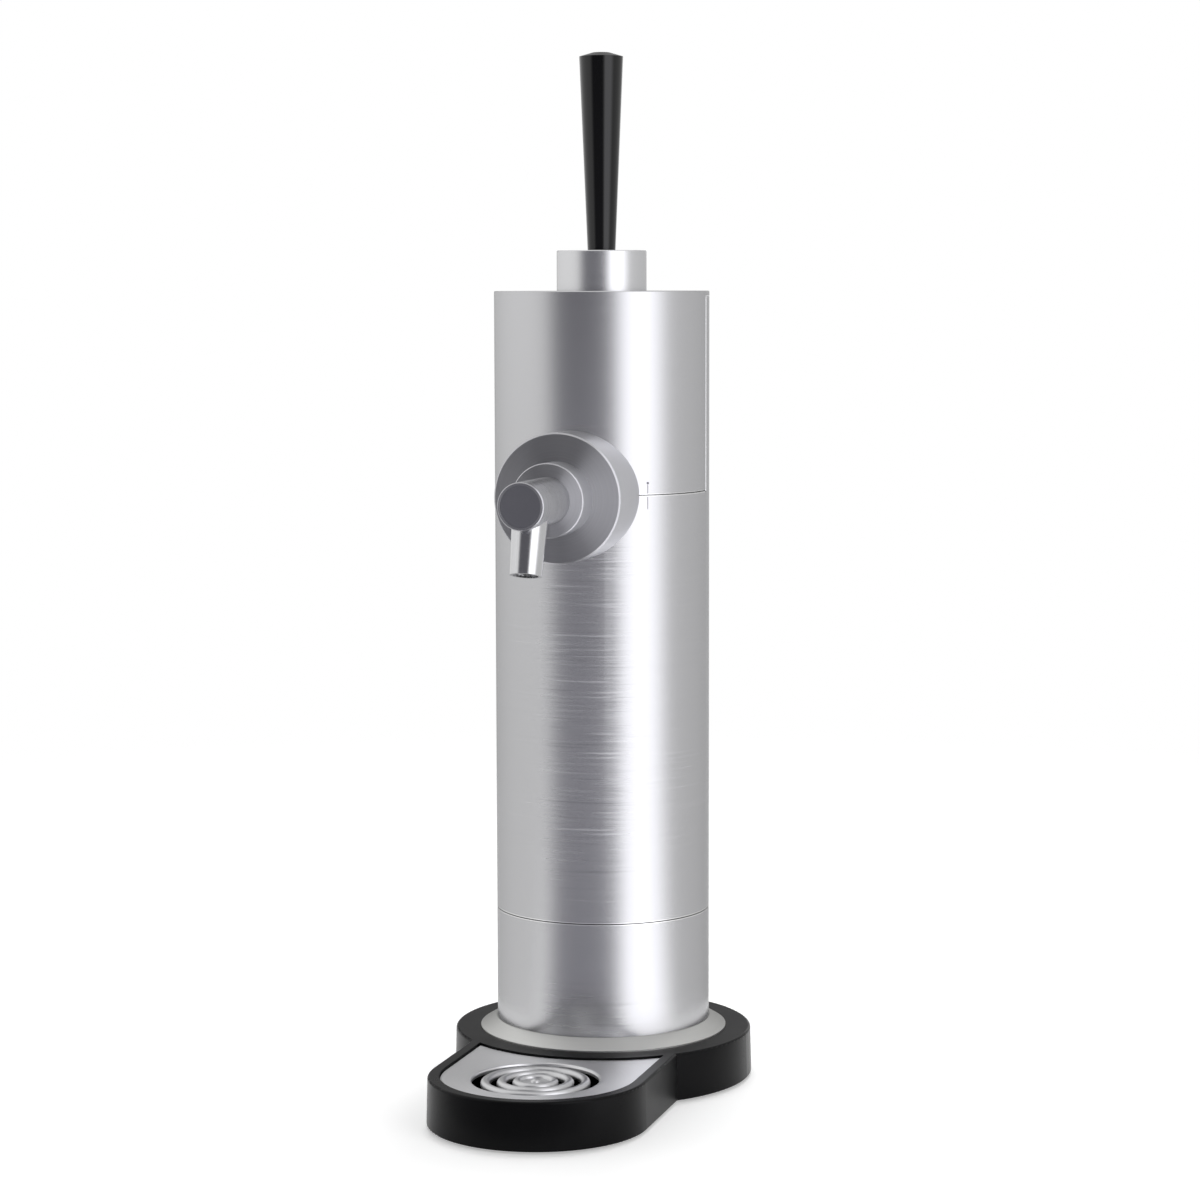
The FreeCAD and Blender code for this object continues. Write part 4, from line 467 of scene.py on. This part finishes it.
# Other stuff: colour, metal or not, roughness, grains per metre, their depth in metres, spread of the
# colour and of the roughness, and gloss
CAST = {
    "insert_steel": ((0.34, 0.34, 0.36), 1.0, 0.30, 1500, 0.000003, 0.03, 0.02, 0.5),
    "chrome": ((0.61, 0.61, 0.62), 1.0, 0.15, 900, 0.00001, 0.03, 0.02, 0.5),
    "polished_steel": ((0.60, 0.60, 0.61), 1.0, 0.20, 1400, 0.00002, 0.05, 0.03, 0.5),
    "plated_screw": ((0.56, 0.56, 0.58), 1.0, 0.28, 1800, 0.00002, 0.08, 0.03, 0.5),
    "spring_steel": ((0.50, 0.50, 0.52), 1.0, 0.26, 2400, 0.00001, 0.08, 0.03, 0.5),
    "contact_brass": ((0.72, 0.55, 0.28), 1.0, 0.27, 1600, 0.00002, 0.08, 0.03, 0.5),
    "black_plastic": ((0.005, 0.005, 0.0055), 0.0, 0.30, 2600, 0.000008, 0.12, 0.03, 0.08),
    "gloss_black": ((0.0025, 0.0025, 0.003), 0.0, 0.11, 1500, 0.000003, 0.10, 0.02, 0.42),
    "inner_plastic": ((0.055, 0.057, 0.060), 0.0, 0.48, 2200, 0.00003, 0.10, 0.03, 0.5),
    "black_rubber": ((0.014, 0.014, 0.014), 0.0, 0.70, 3000, 0.00004, 0.15, 0.03, 0.5),
    "seal_rubber": ((0.30, 0.30, 0.29), 0.0, 0.62, 2600, 0.00003, 0.08, 0.03, 0.5),
    "hose_silicone": ((0.62, 0.62, 0.58), 0.0, 0.34, 1200, 0.00002, 0.05, 0.03, 0.5),
    "dark_plastic_tube": ((0.20, 0.20, 0.205), 0.0, 0.25, 2200, 0.00003, 0.10, 0.03, 0.5),
    "battery_sleeve": ((0.030, 0.034, 0.045), 0.0, 0.28, 1500, 0.00001, 0.08, 0.03, 0.5),
    "lead_sleeve": ((0.32, 0.025, 0.020), 0.0, 0.42, 2200, 0.00002, 0.08, 0.03, 0.5),
    "board_green": ((0.020, 0.110, 0.045), 0.0, 0.40, 1800, 0.00002, 0.12, 0.03, 0.5),
    "print_grey": ((0.36, 0.35, 0.40), 0.0, 0.55, 4000, 0.000002, 0.06, 0.03, 0.5),
}

# Pieces with a finer look than their slot's
FINER = {
    "handle_collar": "collar_steel",
    "nozzle_insert": "insert_steel",
    "tap_nozzle": "nozzle_steel",
    "tap_hub": "hub_steel",
}


def make_looks():
    looks = {name: cast(name, *row) for name, row in CAST.items()}
    for name, (*row, edge) in BRUSHED.items():
        looks[name] = brushed(name, *row, **edge_tint(edge))
    tap = (TAP_AXIS, ALONG_TAP)
    looks["tap_steel"] = turned("tap_steel", (0.60, 0.60, 0.62), 0.33, 0.9, *tap, 0.05, faces=0.74,
                                round_off=6.0, slant=0.13, fan=0.08)
    looks["hub_steel"] = turned("hub_steel", (0.56, 0.56, 0.58), 0.31, 0.9, *tap, 0.05, faces=0.90,
                                round_off=16.0, slant=0.18, fan=0.11)
    looks["nozzle_steel"] = turned("nozzle_steel", (0.44, 0.44, 0.455), 0.29, 0.9, *tap, 0.06)
    looks["satin_steel"] = turned("satin_steel", (0.82, 0.82, 0.83), 0.39, 0.4, RINGS_AXIS, UP, 0.02,
                                  core=(RINGS_RADIUS, 0.26))
    return looks


def dress_frame(looks):
    slots = {part["node"]: part["material_slot"] for part in frame["record"]["subparts"]}
    for name, ob in frame["nodes"].items():
        material = looks[FINER.get(name, slots[name])]
        if ob.data.materials:
            for i in range(len(ob.data.materials)):
                ob.data.materials[i] = material
        else:
            ob.data.materials.append(material)


# The alignment mark across the tap seam

def make_mark(name, body, outline, look):
    """A thin print on the tower's wall. Its outline has points of distance round the wall and height."""
    sunk, raised = 0.00004, 0.00002
    verts = []
    for radius in (TOWER_RADIUS - sunk, TOWER_RADIUS + raised):
        verts += [round_tower(radius, MARK_TURN + aside / TOWER_RADIUS, z) for aside, z in outline]
    m = len(outline)
    faces = [tuple(range(m))[::-1], tuple(range(m, 2 * m))]
    faces += [(i, (i + 1) % m, m + (i + 1) % m, m + i) for i in range(m)]
    ob = new_mesh(name, verts, faces, look, smooth=False)
    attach(ob, body)


def make_marks(look):
    """A dot and a line on the head, and the line's tail on the stand."""
    corners, radius, height = 12, 0.00055, 0.2486
    turns = [math.radians(360 * i / corners) for i in range(corners)]
    dot = [(radius * math.cos(a), height + radius * math.sin(a)) for a in turns]
    make_mark("mark_dot", "head", dot, look)
    lines = (
        ("mark_line", "head", 0.2444, 0.24785, 0.00016),
        ("mark_tail", "stand", 0.2382, 0.2432, 0.00013),
    )
    for name, body, low, high, half in lines:
        make_mark(name, body, [(-half, low), (half, low), (half, high), (-half, high)], look)


make_camera()
make_world()
make_floor()
# The angles of cards and lamps are in degrees from the tap's side, to the right
make_card("dark_card", (-37.5, 29), (11, 8), (0.31, 0.14), 0.80, (0.98, 0.97, 1.08))
make_card("key_card", (35, 77), (7, 12), (2.05, 2.15), 0.84, (0.99, 0.99, 1.03))
make_card("side_card", (86, 172), (9, 12), (0.70, 0.74), 0.88)
make_card("back_card", (184, 216), (9, 8), (0.36, 0.40), 0.90)
make_card("left_card", (-150, -54), (8, 8), (0.86, 1.06), 0.92)
make_lamp("key", 55, 1.5, 1.0, (1.0, 1.4), 6)
make_lamp("fill", -70, 1.6, 0.9, (1.2, 1.2), 3)
make_lamp("top", 185, 0.45, 1.8, (0.7, 0.7), 19)
looks = make_looks()
dress_frame(looks)
make_marks(looks["print_grey"])

scene = bpy.context.scene
scene.view_settings.view_transform = "Standard"
